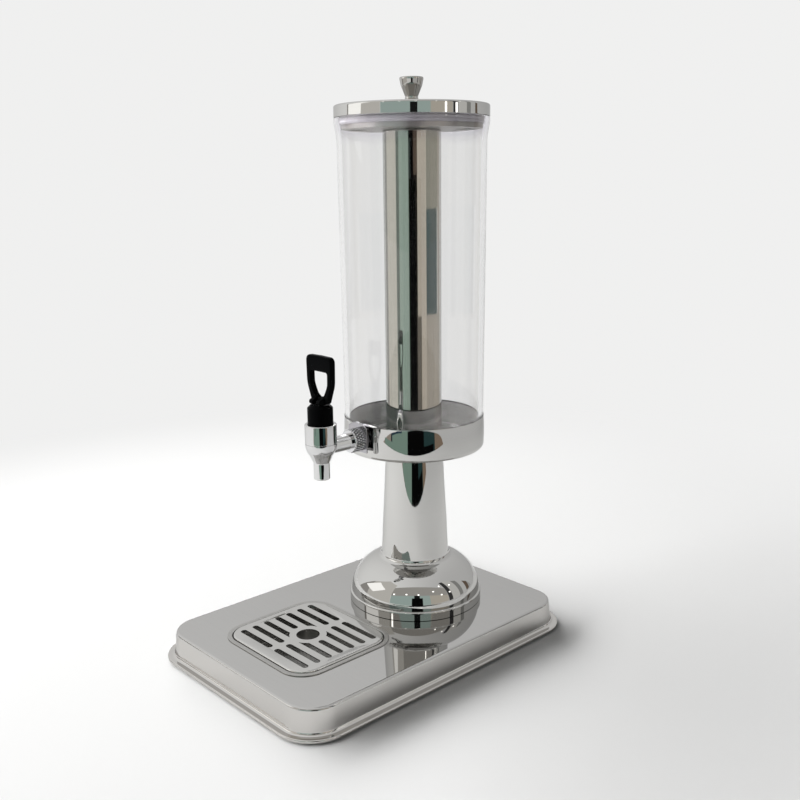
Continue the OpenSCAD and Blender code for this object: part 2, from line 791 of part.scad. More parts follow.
// Coil spring: a round wire carried along a helix, with both ends inside its height
module valve_spring() {
    sides = 6;
    steps = 12;
    rings = spring_turns * steps;
    low = spring_low_z + spring_wire_r;
    rise = bonnet_roof_z - spring_wire_r - low;
    points = [
        for (i = [0:rings], k = [0:sides - 1])
            let (turn = 360 * i / steps, out = spring_r + spring_wire_r * cos(360 * k / sides))
            [out * cos(turn), out * sin(turn), low + rise * i / rings + spring_wire_r * sin(360 * k / sides)]
    ];
    sleeve = [
        for (i = [0:rings - 1], k = [0:sides - 1])
            let (a = i * sides, b = a + sides, n = (k + 1) % sides)
            each [[a + k, b + k, a + n], [a + n, b + k, b + n]]
    ];
    last = rings * sides;
    ends = [for (k = [1:sides - 2]) each [[0, k, k + 1], [last, last + k + 1, last + k]]];
    color("gray") at_tap(0) polyhedron(points, concat(sleeve, ends));
}

module valve_stem() {
    color("silver") at_tap(0) {
        translate([0, 0, seat_low_z + stem_start])
            cylinder(r = stem_r, h = tongue_z - seat_low_z - stem_start);
        translate([0, 0, seat_washer_z]) cylinder(r = stem_flange_r, h = stem_flange_t);
        difference() {
            intersection() {
                union() {
                    translate([0, 0, tongue_z - eps]) cylinder(r = stem_r, h = pin_z - tongue_z + eps);
                    translate([0, 0, pin_z]) rotate([0, 90, 0])
                        cylinder(r = eye_r, h = 4 * stem_r, center = true);
                }
                translate([-tongue_half, -2 * stem_r, tongue_z - 1]) cube([2 * tongue_half, 4 * stem_r, pin_z]);
            }
            translate([0, 0, pin_z]) rotate([0, 90, 0])
                cylinder(r = pin_r + running_fit, h = 6 * stem_r, center = true);
        }
    }
}

module seat_washer() {
    rim_z = seat_low_z + seat_gap + (seat_washer_r - spout_bore_r) / seat_slope;
    color("dimgray") at_tap(0) rotate_extrude() difference() {
        polygon([
            [0, seat_low_z + seat_gap], [spout_bore_r, seat_low_z + seat_gap], [seat_washer_r, rim_z],
            [seat_washer_r, seat_washer_z], [0, seat_washer_z]
        ]);
        translate([0, seat_low_z + stem_start]) square([stem_r, seat_washer_z]);
    }
}

// Outline of the lever's loop seen from the front, from its pin upwards
module loop_outline() {
    hull() {
        for (x = [-1, 1]) {
            translate([x * (loop_w / 2 - loop_corner_r), lever_h - loop_corner_r])
                circle(loop_corner_r, $fn = 32);
            translate([x * (loop_bend_w / 2 - loop_bend_r), loop_bend_h]) circle(loop_bend_r, $fn = 48);
        }
        translate([-lever_foot_w / 2, 0]) square([lever_foot_w, 2]);
    }
}

module finger_opening() {
    hull() {
        for (x = [-1, 1]) {
            translate([x * (loop_in / 2 - opening_corner_r), opening_top - opening_corner_r])
                circle(opening_corner_r, $fn = 32);
            translate([x * (loop_in / 2 - opening_bend_r), opening_top - opening_bend_drop])
                circle(opening_bend_r, $fn = 48);
        }
        translate([0, loop_low + opening_low_r]) circle(opening_low_r, $fn = 32);
    }
}

module lever() {
    color([0.05, 0.05, 0.05]) at_tap(pin_z) difference() {
        union() {
            translate([0, lever_back + lever_t / 2, 0]) rotate([90, 0, 0])
                linear_extrude(lever_t) difference() {
                    loop_outline();
                    finger_opening();
                }
            translate([-lever_foot_w / 2, -toe_reach, -toe_r]) cube([lever_foot_w, toe_reach, 2 * toe_r]);
            for (y = [0, -toe_reach])
                translate([0, y, 0]) rotate([0, 90, 0]) cylinder(r = toe_r, h = lever_foot_w, center = true);
        }
        translate([-lever_slot, -4 * toe_r, -4 * toe_r])
            cube([2 * lever_slot, 8 * toe_r, 4 * toe_r + eye_r + slot_roof]);
        rotate([0, 90, 0]) cylinder(r = pin_r, h = 2 * lever_foot_w, center = true);
    }
}

module lever_pin() {
    color("silver") at_tap(pin_z) rotate([0, 90, 0]) cylinder(r = pin_r, h = lever_foot_w, center = true);
}

// Half profile of the lid cap, drawn in by its sheet for the inside
module lid_outline(inset) {
    h = lid_h - inset;
    r = lid_r - inset;
    edge = lid_edge_r - inset;
    square([r, h - edge]);
    square([r - edge, h]);
    translate([r - edge, h - edge]) circle(edge);
}

module lid_cap() {
    color("silver") at_column(tank_top_z) difference() {
        rotate_extrude() difference() {
            lid_outline(0);
            lid_outline(lid_sheet);
        }
        cylinder(r = knob_screw_r, h = 2 * lid_h);
    }
}

// Pressed pan under the cap: a flange on the tank's lip, a side wall and a floor with vent holes
module lid_liner() {
    color("silver") at_column(0) difference() {
        rotate_extrude() difference() {
            union() {
                translate([0, liner_z]) square([liner_r, liner_drop + lid_sheet]);
                translate([0, tank_top_z]) square([liner_edge_r, lid_sheet]);
            }
            translate([0, liner_z + lid_sheet]) square([liner_r - lid_sheet, liner_drop + 1]);
        }
        for (a = [45:90:315])
            rotate(a) translate([vent_circle_r, 0, liner_z - 1]) cylinder(r = vent_r, h = lid_sheet + 2);
    }
}

module lid_seal() {
    color("gray") at_column(tank_top_z - seal_h) difference() {
        cylinder(r = seal_r, h = seal_h);
        translate([0, 0, -1]) cylinder(r = liner_r, h = seal_h + 2);
    }
}

// Turned knob: it narrows from the foot to a waist and swells by a belly to a rounded rim
module knob() {
    rim = knob_h - knob_cap_h;
    color("silver") at_column(lid_top_z) rotate_extrude() difference() {
        union() {
            polygon([
                [0, 0], [knob_foot_r, 0], [knob_foot_r, knob_foot_h], [knob_waist_r, knob_waist_h],
                [knob_belly_r, knob_belly_h], [knob_top_r, rim], [knob_top_r, knob_h - knob_cap_r],
                [0, knob_h - knob_cap_r]
            ]);
            square([knob_top_r - knob_cap_r, knob_h]);
            translate([knob_top_r - knob_cap_r, knob_h - knob_cap_r]) circle(knob_cap_r);
        }
        translate([0, -1]) square([knob_screw_r, knob_thread + 1]);
    }
}

module knob_screw() {
    under = lid_top_z - lid_sheet;
    color("lightgray") at_column(under - screw_head_h) {
        cylinder(r = screw_head_r, h = screw_head_h);
        cylinder(r = knob_screw_r, h = screw_head_h + lid_sheet + knob_thread - 1);
    }
}

module drip_tray() {
    t = tray_sheet;
    color("silver") translate([0, tray_y, 0]) difference() {
        union() {
            rounded_plate(recess_w + 2 * tray_rim, recess_l + 2 * tray_rim, recess_r + tray_rim, deck_z, t);
            rounded_plate(
                recess_w + 2 * t, recess_l + 2 * t, recess_r + t, ledge_z - t, deck_z - ledge_z + 2 * t
            );
            rounded_plate(well_w + 2 * t, well_l + 2 * t, well_r + t, tray_floor_z, ledge_z - tray_floor_z);
        }
        rounded_plate(recess_w, recess_l, recess_r, ledge_z, base_h);
        rounded_plate(well_w, well_l, well_r, tray_floor_z + t, base_h);
    }
}

// Section of the grate's turned-down edge
module grate_profile() {
    r = grate_edge_r;
    translate([-grate_corner_r, grate_skirt_h - grate_t]) square([grate_corner_r - r, grate_t]);
    translate([-r, grate_skirt_h - r]) quarter_ring(r, r - grate_t, 1, 1);
    translate([-grate_t, 0]) square([grate_t, grate_skirt_h - r]);
}

module slots() {
    far = grate_w / 2 - slot_margin;
    r = slot_w / 2;
    difference() {
        for (row = [-slot_rows:slot_rows], side = [-1, 1])
            scale([side, 1]) translate([0, row * slot_pitch]) {
                near = row == 0 ? hub_r : slot_inner;
                translate([near + r, 0]) circle(r);
                translate([far - r, 0]) circle(r);
                translate([near + r, -r]) square([far - near - 2 * r, slot_w]);
            }
        circle(hub_r);
    }
    circle(finger_hole_r);
}

module drip_grate() {
    inner_w = grate_w - 2 * grate_corner_r;
    inner_l = grate_l - 2 * grate_corner_r;
    color("silver") translate([0, tray_y, ledge_z]) difference() {
        union() {
            carry_round(grate_w, grate_l, grate_corner_r) grate_profile();
            translate([0, 0, grate_skirt_h - grate_t / 2]) cube([inner_w, inner_l, grate_t], center = true);
        }
        translate([0, 0, -1]) linear_extrude(grate_skirt_h + 2) slots();
    }
}

base_shell();
bottom_plate();
feet();
foot_rivets();
backing_plate();
pedestal();
column_head();
tie_rod();
tie_rod_washer();
tie_rod_nut();
cup();
tank_gasket();
tank();
tube_gasket();
tube_plug();
ice_tube();
tap_body();
saddle_washer();
outer_seal();
knurled_collar();
inner_seal();
lock_nut();
bonnet();
valve_spring();
valve_stem();
seat_washer();
lever();
lever_pin();
lid_cap();
lid_liner();
lid_seal();
knob();
knob_screw();
drip_tray();
drip_grate();
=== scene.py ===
import bmesh
import bpy
import numpy as np
from mathutils import Matrix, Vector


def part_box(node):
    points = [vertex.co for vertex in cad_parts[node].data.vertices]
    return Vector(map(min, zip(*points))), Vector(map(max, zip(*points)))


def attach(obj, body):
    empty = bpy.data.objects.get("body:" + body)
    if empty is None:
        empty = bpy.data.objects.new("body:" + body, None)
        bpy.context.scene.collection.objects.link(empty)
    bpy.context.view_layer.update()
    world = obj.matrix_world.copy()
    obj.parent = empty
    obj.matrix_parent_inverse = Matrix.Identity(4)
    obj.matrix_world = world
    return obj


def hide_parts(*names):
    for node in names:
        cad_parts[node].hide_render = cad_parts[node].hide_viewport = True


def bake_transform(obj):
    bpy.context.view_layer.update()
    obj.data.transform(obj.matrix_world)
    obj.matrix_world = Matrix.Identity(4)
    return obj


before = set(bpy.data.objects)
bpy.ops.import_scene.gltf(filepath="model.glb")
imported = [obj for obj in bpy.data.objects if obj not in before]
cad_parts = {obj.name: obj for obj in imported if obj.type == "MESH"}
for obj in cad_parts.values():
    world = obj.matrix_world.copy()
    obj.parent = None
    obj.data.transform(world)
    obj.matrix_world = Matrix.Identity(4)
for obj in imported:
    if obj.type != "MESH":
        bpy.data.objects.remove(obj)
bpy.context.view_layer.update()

# Base pan: one deep-drawn sheet of stainless steel, 1 mm thick, polished to a mirror.
# The deck turns over a small radius into the side, and the side leans out into a flat flange
# whose edge stands just clear of the table.


def rounded_path(corners, closed=False, steps=8, lead=0.0003):
    """Line through (across, up, radius) corners: an arc that touches both legs takes each corner's place.
    One more point stands on the leg beside each end of an arc, so a flat shades flat up to its curve."""
    corners = np.array(corners, float)
    place, radius = corners[:, :2], corners[:, 2]
    back, ahead = np.roll(place, 1, 0) - place, np.roll(place, -1, 0) - place
    leg_back, leg_ahead = np.linalg.norm(back, axis=1), np.linalg.norm(ahead, axis=1)
    back, ahead = back / leg_back[:, None], ahead / leg_ahead[:, None]
    half = 0.5 * np.arccos(np.clip((back * ahead).sum(1), -0.999999, 0.999999))
    reach = radius / np.tan(half)
    inner = back + ahead
    inner /= np.maximum(np.linalg.norm(inner, axis=1), 1e-9)[:, None]
    centre = place + inner * (radius / np.sin(half))[:, None]
    first, last = place + back * reach[:, None] - centre, place + ahead * reach[:, None] - centre
    start = np.arctan2(first[:, 1], first[:, 0])
    sweep = np.arctan2(last[:, 1], last[:, 0]) - start
    sweep = (sweep + np.pi) % (2 * np.pi) - np.pi
    angle = start[:, None] + sweep[:, None] * np.linspace(0, 1, steps + 1)
    arc = centre[:, None] + radius[:, None, None] * np.stack([np.cos(angle), np.sin(angle)], -1)
    spare = np.minimum(lead, 0.3 * np.maximum(leg_ahead - reach - np.roll(reach, -1), 0))
    before = place + back * (reach + np.roll(spare, 1))[:, None]
    after = place + ahead * (reach + spare)[:, None]
    line = np.concatenate([before[:, None], arc, after[:, None]], 1)
    keep = np.ones(line.shape[:2], bool)
    keep[radius == 0, 2:-1] = False
    if not closed:
        keep[[0, -1]] = False
        keep[[0, -1], 1] = True
        line[[0, -1], 1] = place[[0, -1]]
    return line[keep]


def round_stations(half_w, half_l, radius, steps=18, lead=0.0008):
    """Stations once round a rounded rectangle: a foot at the corner's centre, slid along the side
    next to each end of the arc, and the direction outwards from it."""
    turn = np.radians(np.concatenate([[0], np.linspace(0, 90, steps + 1), [90]]))
    slide = np.zeros(steps + 3)
    slide[[0, -1]] = -lead, lead
    quarter = np.arange(4)[:, None] * np.pi / 2
    angle = (quarter + turn).ravel()
    out = np.stack([np.cos(angle), np.sin(angle)], -1)
    along = np.stack([-out[:, 1], out[:, 0]], -1)
    side = np.repeat(np.array([[1, 1], [-1, 1], [-1, -1], [1, -1]], float), steps + 3, 0)
    foot = side * [half_w - radius, half_l - radius] + along * np.tile(slide, 4)[:, None]
    return foot, out


def carried_round(line, half_w, half_l, radius, y):
    """Sheet of an (outwards, height) line carried round such a rectangle about the middle at y: each place is
    the station's foot plus corner radius and way outwards along its direction."""
    foot, out = round_stations(half_w, half_l, radius)
    reach = radius + line[:, 0, None]
    flat = foot + reach[..., None] * out
    height = np.broadcast_to(line[:, 1, None], reach.shape[:1] + foot.shape[:1])
    return np.concatenate([flat + [0, y], height[..., None]], -1)


def smoothed(name, mesh, crease):
    """Object of a mesh: places that fall together become one, faces turn outwards, and it shades smooth up to
    a crease in degrees."""
    shell = bmesh.new()
    shell.from_mesh(mesh)
    bmesh.ops.remove_doubles(shell, verts=shell.verts, dist=1e-6)
    bmesh.ops.recalc_face_normals(shell, faces=shell.faces)
    if shell.calc_volume(signed=True) < 0:
        bmesh.ops.reverse_faces(shell, faces=shell.faces)
    shell.to_mesh(mesh)
    shell.free()
    mesh.shade_smooth()
    mesh.set_sharp_from_angle(angle=np.radians(crease))
    piece = bpy.data.objects.new(name, mesh)
    bpy.context.scene.collection.objects.link(piece)
    return piece


def skin(name, *sheets, crease=38):
    """One mesh from sheets (points, closed down, closed across): points[i, j] is a place and quads join
    neighbours."""
    places, quads, count = [], [], 0
    for points, closed_down, closed_across in sheets:
        rows, columns = points.shape[:2]
        i = np.arange(rows if closed_down else rows - 1)[:, None]
        j = np.arange(columns if closed_across else columns - 1)[None, :]
        down, across = (i + 1) % rows * columns, (j + 1) % columns
        quad = np.stack([i * columns + j, i * columns + across, down + across, down + j], -1)
        places.append(points.reshape(-1, 3))
        quads.append(quad.reshape(-1, 4) + count)
        count += rows * columns
    mesh = bpy.data.meshes.new(name)
    mesh.from_pydata(np.concatenate(places).tolist(), [], np.concatenate(quads).tolist())
    return smoothed(name, mesh, crease)


def fit(piece, body, node, slot, *finishes):
    """Gives a piece its finishes and its body, and hides the CAD node it stands for. The slot is not used."""
    for finish in finishes:
        piece.data.materials.append(finish)
    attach(piece, body)
    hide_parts(node)


def feed(tree, sockets, values):
    """Feeds sockets, by name or number: another socket is linked, anything else is set as the value."""
    for key, value in values.items():
        if isinstance(value, bpy.types.NodeSocket):
            tree.links.new(value, sockets[key])
        else:
            sockets[key].default_value = value


def make(tree, kind, values={}, **settings):
    """New shader node with its settings and fed sockets; returns its outputs."""
    node = tree.nodes.new("ShaderNode" + kind)
    for key, value in settings.items():
        setattr(node, key, value)
    feed(tree, node.inputs, values)
    return node.outputs


def number_math(tree, operation, *values):
    """Result of an operation on numbers."""
    return make(tree, "Math", dict(enumerate(values)), operation=operation)[0]


def vector_math(tree, operation, *values):
    """Outputs of an operation on vectors."""
    return make(tree, "VectorMath", dict(enumerate(values)), operation=operation)


def part(tree, place, axis):
    """One coordinate of a place."""
    return make(tree, "SeparateXYZ", {0: place})[axis]


def noise(tree, place, scale, detail=2):
    """Soft noise at a place."""
    return make(tree, "TexNoise", {"Vector": place, "Scale": scale, "Detail": detail})["Fac"]


def ranged(tree, value, first, last, low=0, high=1, smooth=False):
    """Value carried over from one range to another."""
    ends = {"Value": value, "From Min": first, "From Max": last, "To Min": low, "To Max": high}
    return make(tree, "MapRange", ends, interpolation_type="SMOOTHSTEP" if smooth else "LINEAR")[0]


def mixed(tree, share, first, second):
    """Colour on the way from one to another by a share."""
    return make(tree, "Mix", {"Factor": share, "A": first, "B": second}, data_type="RGBA")["Result"]


def group_with(name, takes, gives):
    """Empty shader group with sockets by label and kind; returns the tree and its end nodes' sockets."""
    tree = bpy.data.node_groups.new(name, "ShaderNodeTree")
    for way, sockets in (("INPUT", takes), ("OUTPUT", gives)):
        for label, kind in sockets.items():
            tree.interface.new_socket(label, in_out=way, socket_type="NodeSocket" + kind)
    return tree, tree.nodes.new("NodeGroupInput").outputs, tree.nodes.new("NodeGroupOutput").inputs


# Rubbed metal: a broad cloud of polish and hair lines drawn along the rubbing direction.
rubbed, taken, given = group_with(
    "rubbed_metal",
    {"Vector": "Vector", "Line Scale": "Vector", "Cloud Scale": "Float", "Bright": "Color", "Dull": "Color",
     "Smoothest": "Float", "Roughest": "Float"},
    {"Colour": "Color", "Roughness": "Float", "Height": "Float"},
)
cloud = noise(rubbed, taken["Vector"], taken["Cloud Scale"], 3)
hairs = noise(rubbed, vector_math(rubbed, "MULTIPLY", taken["Vector"], taken["Line Scale"])[0], 1)
wear = number_math(rubbed, "MULTIPLY", cloud, hairs)
least_wear, most_wear = 0.12, 0.42
rough = ranged(rubbed, wear, least_wear, most_wear, taken["Smoothest"], taken["Roughest"])
tone = mixed(rubbed, wear, taken["Bright"], taken["Dull"])
feed(rubbed, given, {"Colour": tone, "Roughness": rough, "Height": hairs})
hair_depth, metal_tint = 0.00005, (0.7, 0.7, 0.7, 1)


def opened(finish):
    """A finish's node tree, its Principled shader's sockets and its Object coordinates."""
    nodes = finish.node_tree.nodes
    return finish.node_tree, nodes["Principled BSDF"].inputs, nodes["Texture Coordinate"].outputs["Object"]


def new_finish(name):
    """Node material with Object coordinates; returns it and what it opens to."""
    finish = bpy.data.materials.new(name)
    finish.use_nodes = True
    make(finish.node_tree, "TexCoord")
    return finish, *opened(finish)


def metal(name, bright, dull, smoothest, roughest, lines, cloud_scale=22, bump=0.0, middle=None):
    """Rubbed metal finish. With a middle the lines run round the upright axis there, as on spun sheet."""
    finish, tree, shader, place = new_finish(name)
    if middle is not None:
        off_middle = vector_math(tree, "SUBTRACT", place, middle)[0]
        flat = vector_math(tree, "MULTIPLY", off_middle, (1, 1, 0))[0]
        radius = vector_math(tree, "LENGTH", flat)["Value"]
        place = make(tree, "CombineXYZ", {0: radius, 1: part(tree, off_middle, "Z")})[0]
    rub = make(tree, "Group", {
        "Vector": place, "Line Scale": lines, "Cloud Scale": cloud_scale,
        "Bright": (*bright, 1), "Dull": (*dull, 1), "Smoothest": smoothest, "Roughest": roughest,
    }, node_tree=rubbed)
    feed(tree, shader, {"Base Color": rub["Colour"], "Roughness": rub["Roughness"], "Metallic": 1,
                        "Specular Tint": metal_tint})
    if bump:
        raised_hairs = {"Height": rub["Height"], "Strength": bump, "Distance": hair_depth}
        feed(tree, shader, {"Normal": make(tree, "Bump", raised_hairs)[0]})
    return finish


pan_low, pan_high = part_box("base_shell")
flange_out, flange_h, lip_r, flange_fillet_r, side_draft = 0.0085, 0.0025, 0.0012, 0.003, 0.0017
pan_sheet, deck_edge_r, pan_corner_r, deck_in, lip_edge_r = 0.001, 0.0025, 0.0265, 0.006, 0.0003
painted_side_sheen_from, painted_side_sheen_to = 0.0005, 0.0035
pan_half_w, pan_half_l = pan_high.x - flange_out, pan_high.y - flange_out
deck_z, lip_z = pan_high.z, pan_low.z
ledge_z = lip_z + flange_h
tray_low, tray_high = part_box("drip_tray")
tray_y = (tray_low.y + tray_high.y) / 2
rim_w, tray_sheet, tray_clear = 0.0041, 0.0009, 0.0005
bay_half_w = tray_high.x - rim_w
bay_half_l = tray_high.y - tray_y - rim_w
bay_r = 0.0198
hole_out = tray_sheet + tray_clear

lean = side_draft / (deck_z - deck_edge_r - ledge_z - flange_fillet_r)
side_top_x, side_low_x = -lean * deck_edge_r, side_draft + lean * flange_fillet_r
pan_line = rounded_path([
    (-deck_in, deck_z, 0), (side_top_x, deck_z, deck_edge_r), (side_low_x, ledge_z, flange_fillet_r),
    (flange_out, ledge_z, lip_r), (flange_out, lip_z, lip_edge_r),
    (flange_out - pan_sheet, lip_z, lip_edge_r),
    (flange_out - pan_sheet, ledge_z - pan_sheet, lip_r - pan_sheet),
    (side_low_x - pan_sheet, ledge_z - pan_sheet, flange_fillet_r + pan_sheet),
    (side_top_x - pan_sheet, deck_z - pan_sheet, deck_edge_r - pan_sheet), (-deck_in, deck_z - pan_sheet, 0),
], steps=10)
pan_sheet_points = carried_round(pan_line, pan_half_w, pan_half_l, pan_corner_r, 0)
hole_line = np.array([(hole_out, deck_z - pan_sheet), (hole_out, deck_z)])
hole_points = carried_round(hole_line, bay_half_w, bay_half_l, bay_r, tray_y)
base_pan = skin("base_pan", (np.concatenate([pan_sheet_points, hole_points]), True, True))
mirror_sheet = metal("mirror_sheet_steel", (0.555, 0.55, 0.54), (0.51, 0.505, 0.495), 0.018, 0.05,
                     (30, 1100, 30))


def two_tone(finish, first, last, colour):
    """Turns a finish's colour into another one on the way from the first height to the last."""
    tree, shader, place = opened(finish)
    share = ranged(tree, part(tree, place, "Z"), first, last, smooth=True)
    before = shader["Base Color"].links[0].from_socket
    feed(tree, shader, {"Base Color": mixed(tree, share, before, (*colour, 1))})


# Painted reflection: below the deck's edge the steel turns lighter and warmer than the deck, for the pale
# floor that the sides reflect.
two_tone(mirror_sheet, deck_z - painted_side_sheen_from, deck_z - painted_side_sheen_to, (0.61, 0.595, 0.575))
fit(base_pan, "stand", "base_shell", "polished_steel", mirror_sheet)

# Underside: a steel plate closes the pan from below and carries four rubber feet,
# each held by a rivet. Plate and rivets are left satin, the rubber is moulded and dull.


def dress(finish, slot, *nodes):
    """Puts a finish on CAD nodes that keep their own shape."""
    for name in nodes:
        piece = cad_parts[name]
        for holder in piece.material_slots:
            holder.material = finish


# Moulded skin: fine pits of the mould with a slower drift in gloss.
moulded, taken, given = group_with(
    "moulded_skin",
    {"Vector": "Vector", "Pit Scale": "Float", "Smoothest": "Float", "Roughest": "Float", "Deep": "Color",
     "Pale": "Color"},
    {"Colour": "Color", "Roughness": "Float", "Height": "Float"},
)
pits = noise(moulded, taken["Vector"], taken["Pit Scale"])
drift_scale, least_drift, most_drift = 60, 0.3, 0.7
drift = noise(moulded, taken["Vector"], drift_scale, 3)
gloss = ranged(moulded, drift, least_drift, most_drift, taken["Smoothest"], taken["Roughest"])
shade = mixed(moulded, drift, taken["Deep"], taken["Pale"])
feed(moulded, given, {"Colour": shade, "Roughness": gloss, "Height": pits})
pit_depth = 0.00008


def moulding(name, deep, pale, smoothest, roughest, pit_scale, bump):
    """Moulded plastic, rubber or silicone finish."""
    finish, tree, shader, place = new_finish(name)
    body = make(tree, "Group", {
        "Vector": place, "Pit Scale": pit_scale, "Smoothest": smoothest, "Roughest": roughest,
        "Deep": (*deep, 1), "Pale": (*pale, 1),
    }, node_tree=moulded)
    pitted = make(tree, "Bump", {"Height": body["Height"], "Strength": bump, "Distance": pit_depth})[0]
    feed(tree, shader, {"Normal": pitted, "Base Color": body["Colour"], "Roughness": body["Roughness"]})
    return finish


satin_plate = metal("satin_plate_steel", (0.50, 0.50, 0.49), (0.40, 0.40, 0.39), 0.22, 0.38, (20, 1600, 20),
                    bump=0.3)
foot_rubber = moulding("foot_rubber", (0.018, 0.018, 0.018), (0.032, 0.031, 0.03), 0.6, 0.8, 1800, 0.4)
dress(satin_plate, "satin_steel", "bottom_plate", "foot_rivets")
dress(foot_rubber, "black_rubber", "feet")

# Drip tray: a pressed steel tray hangs by its rim in the opening of the deck. A ledge below
# the rim carries the grate, and the well under it catches what drips.
tray_floor_z, tray_rim_z = tray_low.z, tray_high.z
well_in, well_r = 0.005, 0.002
bend_r, turn_r, rim_edge_r, under_rim_r = 0.0006, 0.0004, 0.0002, 0.0003
grate_ledge_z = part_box("drip_grate")[0].z
tray_line = rounded_path([
    (-bay_r, tray_floor_z + tray_sheet, 0), (-well_in, tray_floor_z + tray_sheet, well_r),
    (-well_in, grate_ledge_z, bend_r), (0, grate_ledge_z, turn_r), (0, tray_rim_z, bend_r),
    (rim_w, tray_rim_z, turn_r), (rim_w, deck_z, rim_edge_r), (tray_sheet, deck_z, under_rim_r),
    (tray_sheet, grate_ledge_z - tray_sheet, bend_r),
    (tray_sheet - well_in, grate_ledge_z - tray_sheet, turn_r),
    (tray_sheet - well_in, tray_floor_z, well_r + tray_sheet), (-bay_r, tray_floor_z, 0),
], steps=6)
tray_points = carried_round(tray_line, bay_half_w, bay_half_l, bay_r, tray_y)
tray_middle = np.zeros_like(tray_points[:1]) + [0, tray_y, 0]
tray_top = tray_middle + [0, 0, tray_floor_z + tray_sheet]
tray_under = tray_middle + [0, 0, tray_floor_z]
drip_tray = skin("drip_tray_pan", (np.concatenate([tray_top, tray_points, tray_under]), False, True))
tray_steel = metal("tray_steel", (0.48, 0.475, 0.46), (0.40, 0.395, 0.385), 0.26, 0.36, (120, 120, 120))
fit(drip_tray, "tray", "drip_tray", "polished_steel", tray_steel)

# Drip grate: a punched and polished steel plate with a turned-down edge, lifted by the round
# finger hole in its middle. Rows of long slots let the drips through.
grate_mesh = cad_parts["drip_grate"].data.copy()
grate_mesh.materials.clear()
grate = smoothed("drip_grate_plate", grate_mesh, 30)
grate_steel = metal("grate_steel", (0.61, 0.605, 0.59), (0.56, 0.555, 0.54), 0.05, 0.11, (1200, 30, 30))
fit(grate, "grate", "drip_grate", "polished_steel", grate_steel)

# Tie rod and plates: a threaded rod with washer and nut draws the pedestal, cup and tank
# down on the deck. A stiffening plate under the deck and a plate in the column's head take the pull.
rod_steel = metal("rod_steel", (0.45, 0.45, 0.45), (0.36, 0.36, 0.36), 0.2, 0.35, (60, 60, 2400), bump=0.3)
dress(rod_steel, "satin_steel", "backing_plate", "column_head", "tie_rod", "tie_rod_washer", "tie_rod_nut")

# Pedestal: spun from one steel sheet and polished. An upright band with a beaded shoulder stands on
# the deck, a bell rises from it, and a tight cove leads into the column that tapers up to the cup.
column_low, column_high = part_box("pedestal")
column_y = (column_low.y + column_high.y) / 2
foot_r = column_high.x
foot_band, bead_r, bell_r, cove_r, spun_sheet, foot_slit = 0.0085, 0.0016, 0.0355, 0.005, 0.001, 0.0004
flat_lead, end_share = 0.0003, 0.004
column_h = column_high.z - column_low.z
column_foot_r, column_top_r = 0.034, 0.0261
bell_x, bell_z = foot_r - bead_r - bell_r, foot_band - bead_r
taper = (column_foot_r - column_top_r) / column_h
slant = np.hypot(1, taper)


def arc_between(centre, radius, first, last, steps):
    """Points of an arc from one angle to another."""
    angle = np.linspace(first, last, steps + 1)
    return np.array(centre) + radius * np.stack([np.cos(angle), np.sin(angle)], -1)


def pedestal_line(inset):
    """Half outline from the deck to the cup: band, bead, bell arc, cove arc that touches bell and column,
    and the straight taper. The inset draws every curve in by the sheet; the outer edge stands clear of
    the deck."""
    across = column_foot_r + cove_r * slant - bell_x
    b = across * taper + bell_z
    c = across ** 2 + bell_z ** 2 - (bell_r + cove_r) ** 2
    cove_z = (b + np.sqrt(b * b - slant ** 2 * c)) / slant ** 2
    cove_x = column_foot_r - taper * cove_z + cove_r * slant
    lean = np.arctan2(cove_z - bell_z, cove_x - bell_x)
    meet = 2 * np.arcsin(max(bead_r - inset, 0.0002) / 2 / (bell_r - inset))
    top_x = column_top_r - inset * slant
    end = arc_between((cove_x, cove_z), cove_r + inset, lean + np.pi, np.pi + np.arctan(taper), 24)
    low, high = end[-1], np.array([top_x, column_h])
    return np.concatenate([
        [(foot_r - inset, foot_slit if inset == 0 else 0), (foot_r - inset, bell_z - flat_lead)],
        arc_between((foot_r - bead_r, bell_z), bead_r - inset, 0, np.pi / 2, 8),
        arc_between((bell_x, bell_z), bell_r - inset, meet, lean, 48), end,
        [low + (high - low) * end_share, high - (high - low) * end_share, high],
    ])


def turned(line, y, steps=160):
    """Sheet of a (radius, height) line turned about the upright axis at that y: the radius times the cosine
    of the turn across and times its sine along."""
    angle = np.linspace(0, 2 * np.pi, steps, endpoint=False)
    radius = line[:, 0, None]
    height = np.broadcast_to(line[:, 1, None], (len(line), steps))
    return np.stack([radius * np.cos(angle), y + radius * np.sin(angle), height], -1)


def spun(name, line, y, steps=160):
    """Piece turned from a line, which closes on itself unless it starts and ends on the axis."""
    return skin(name, (turned(line, y, steps), line[0, 0] > 0, True))


column_line = np.concatenate([pedestal_line(0), pedestal_line(spun_sheet)[::-1]]) + [0, deck_z]
pedestal = spun("pedestal_column", column_line, column_y)
axis = (0, column_y, 0)
spun_steel = metal("spun_steel", (0.60, 0.595, 0.58), (0.56, 0.555, 0.54), 0.015, 0.045, (900, 900, 40),
                   middle=axis)
fit(pedestal, "stand", "pedestal", "polished_steel", spun_steel)
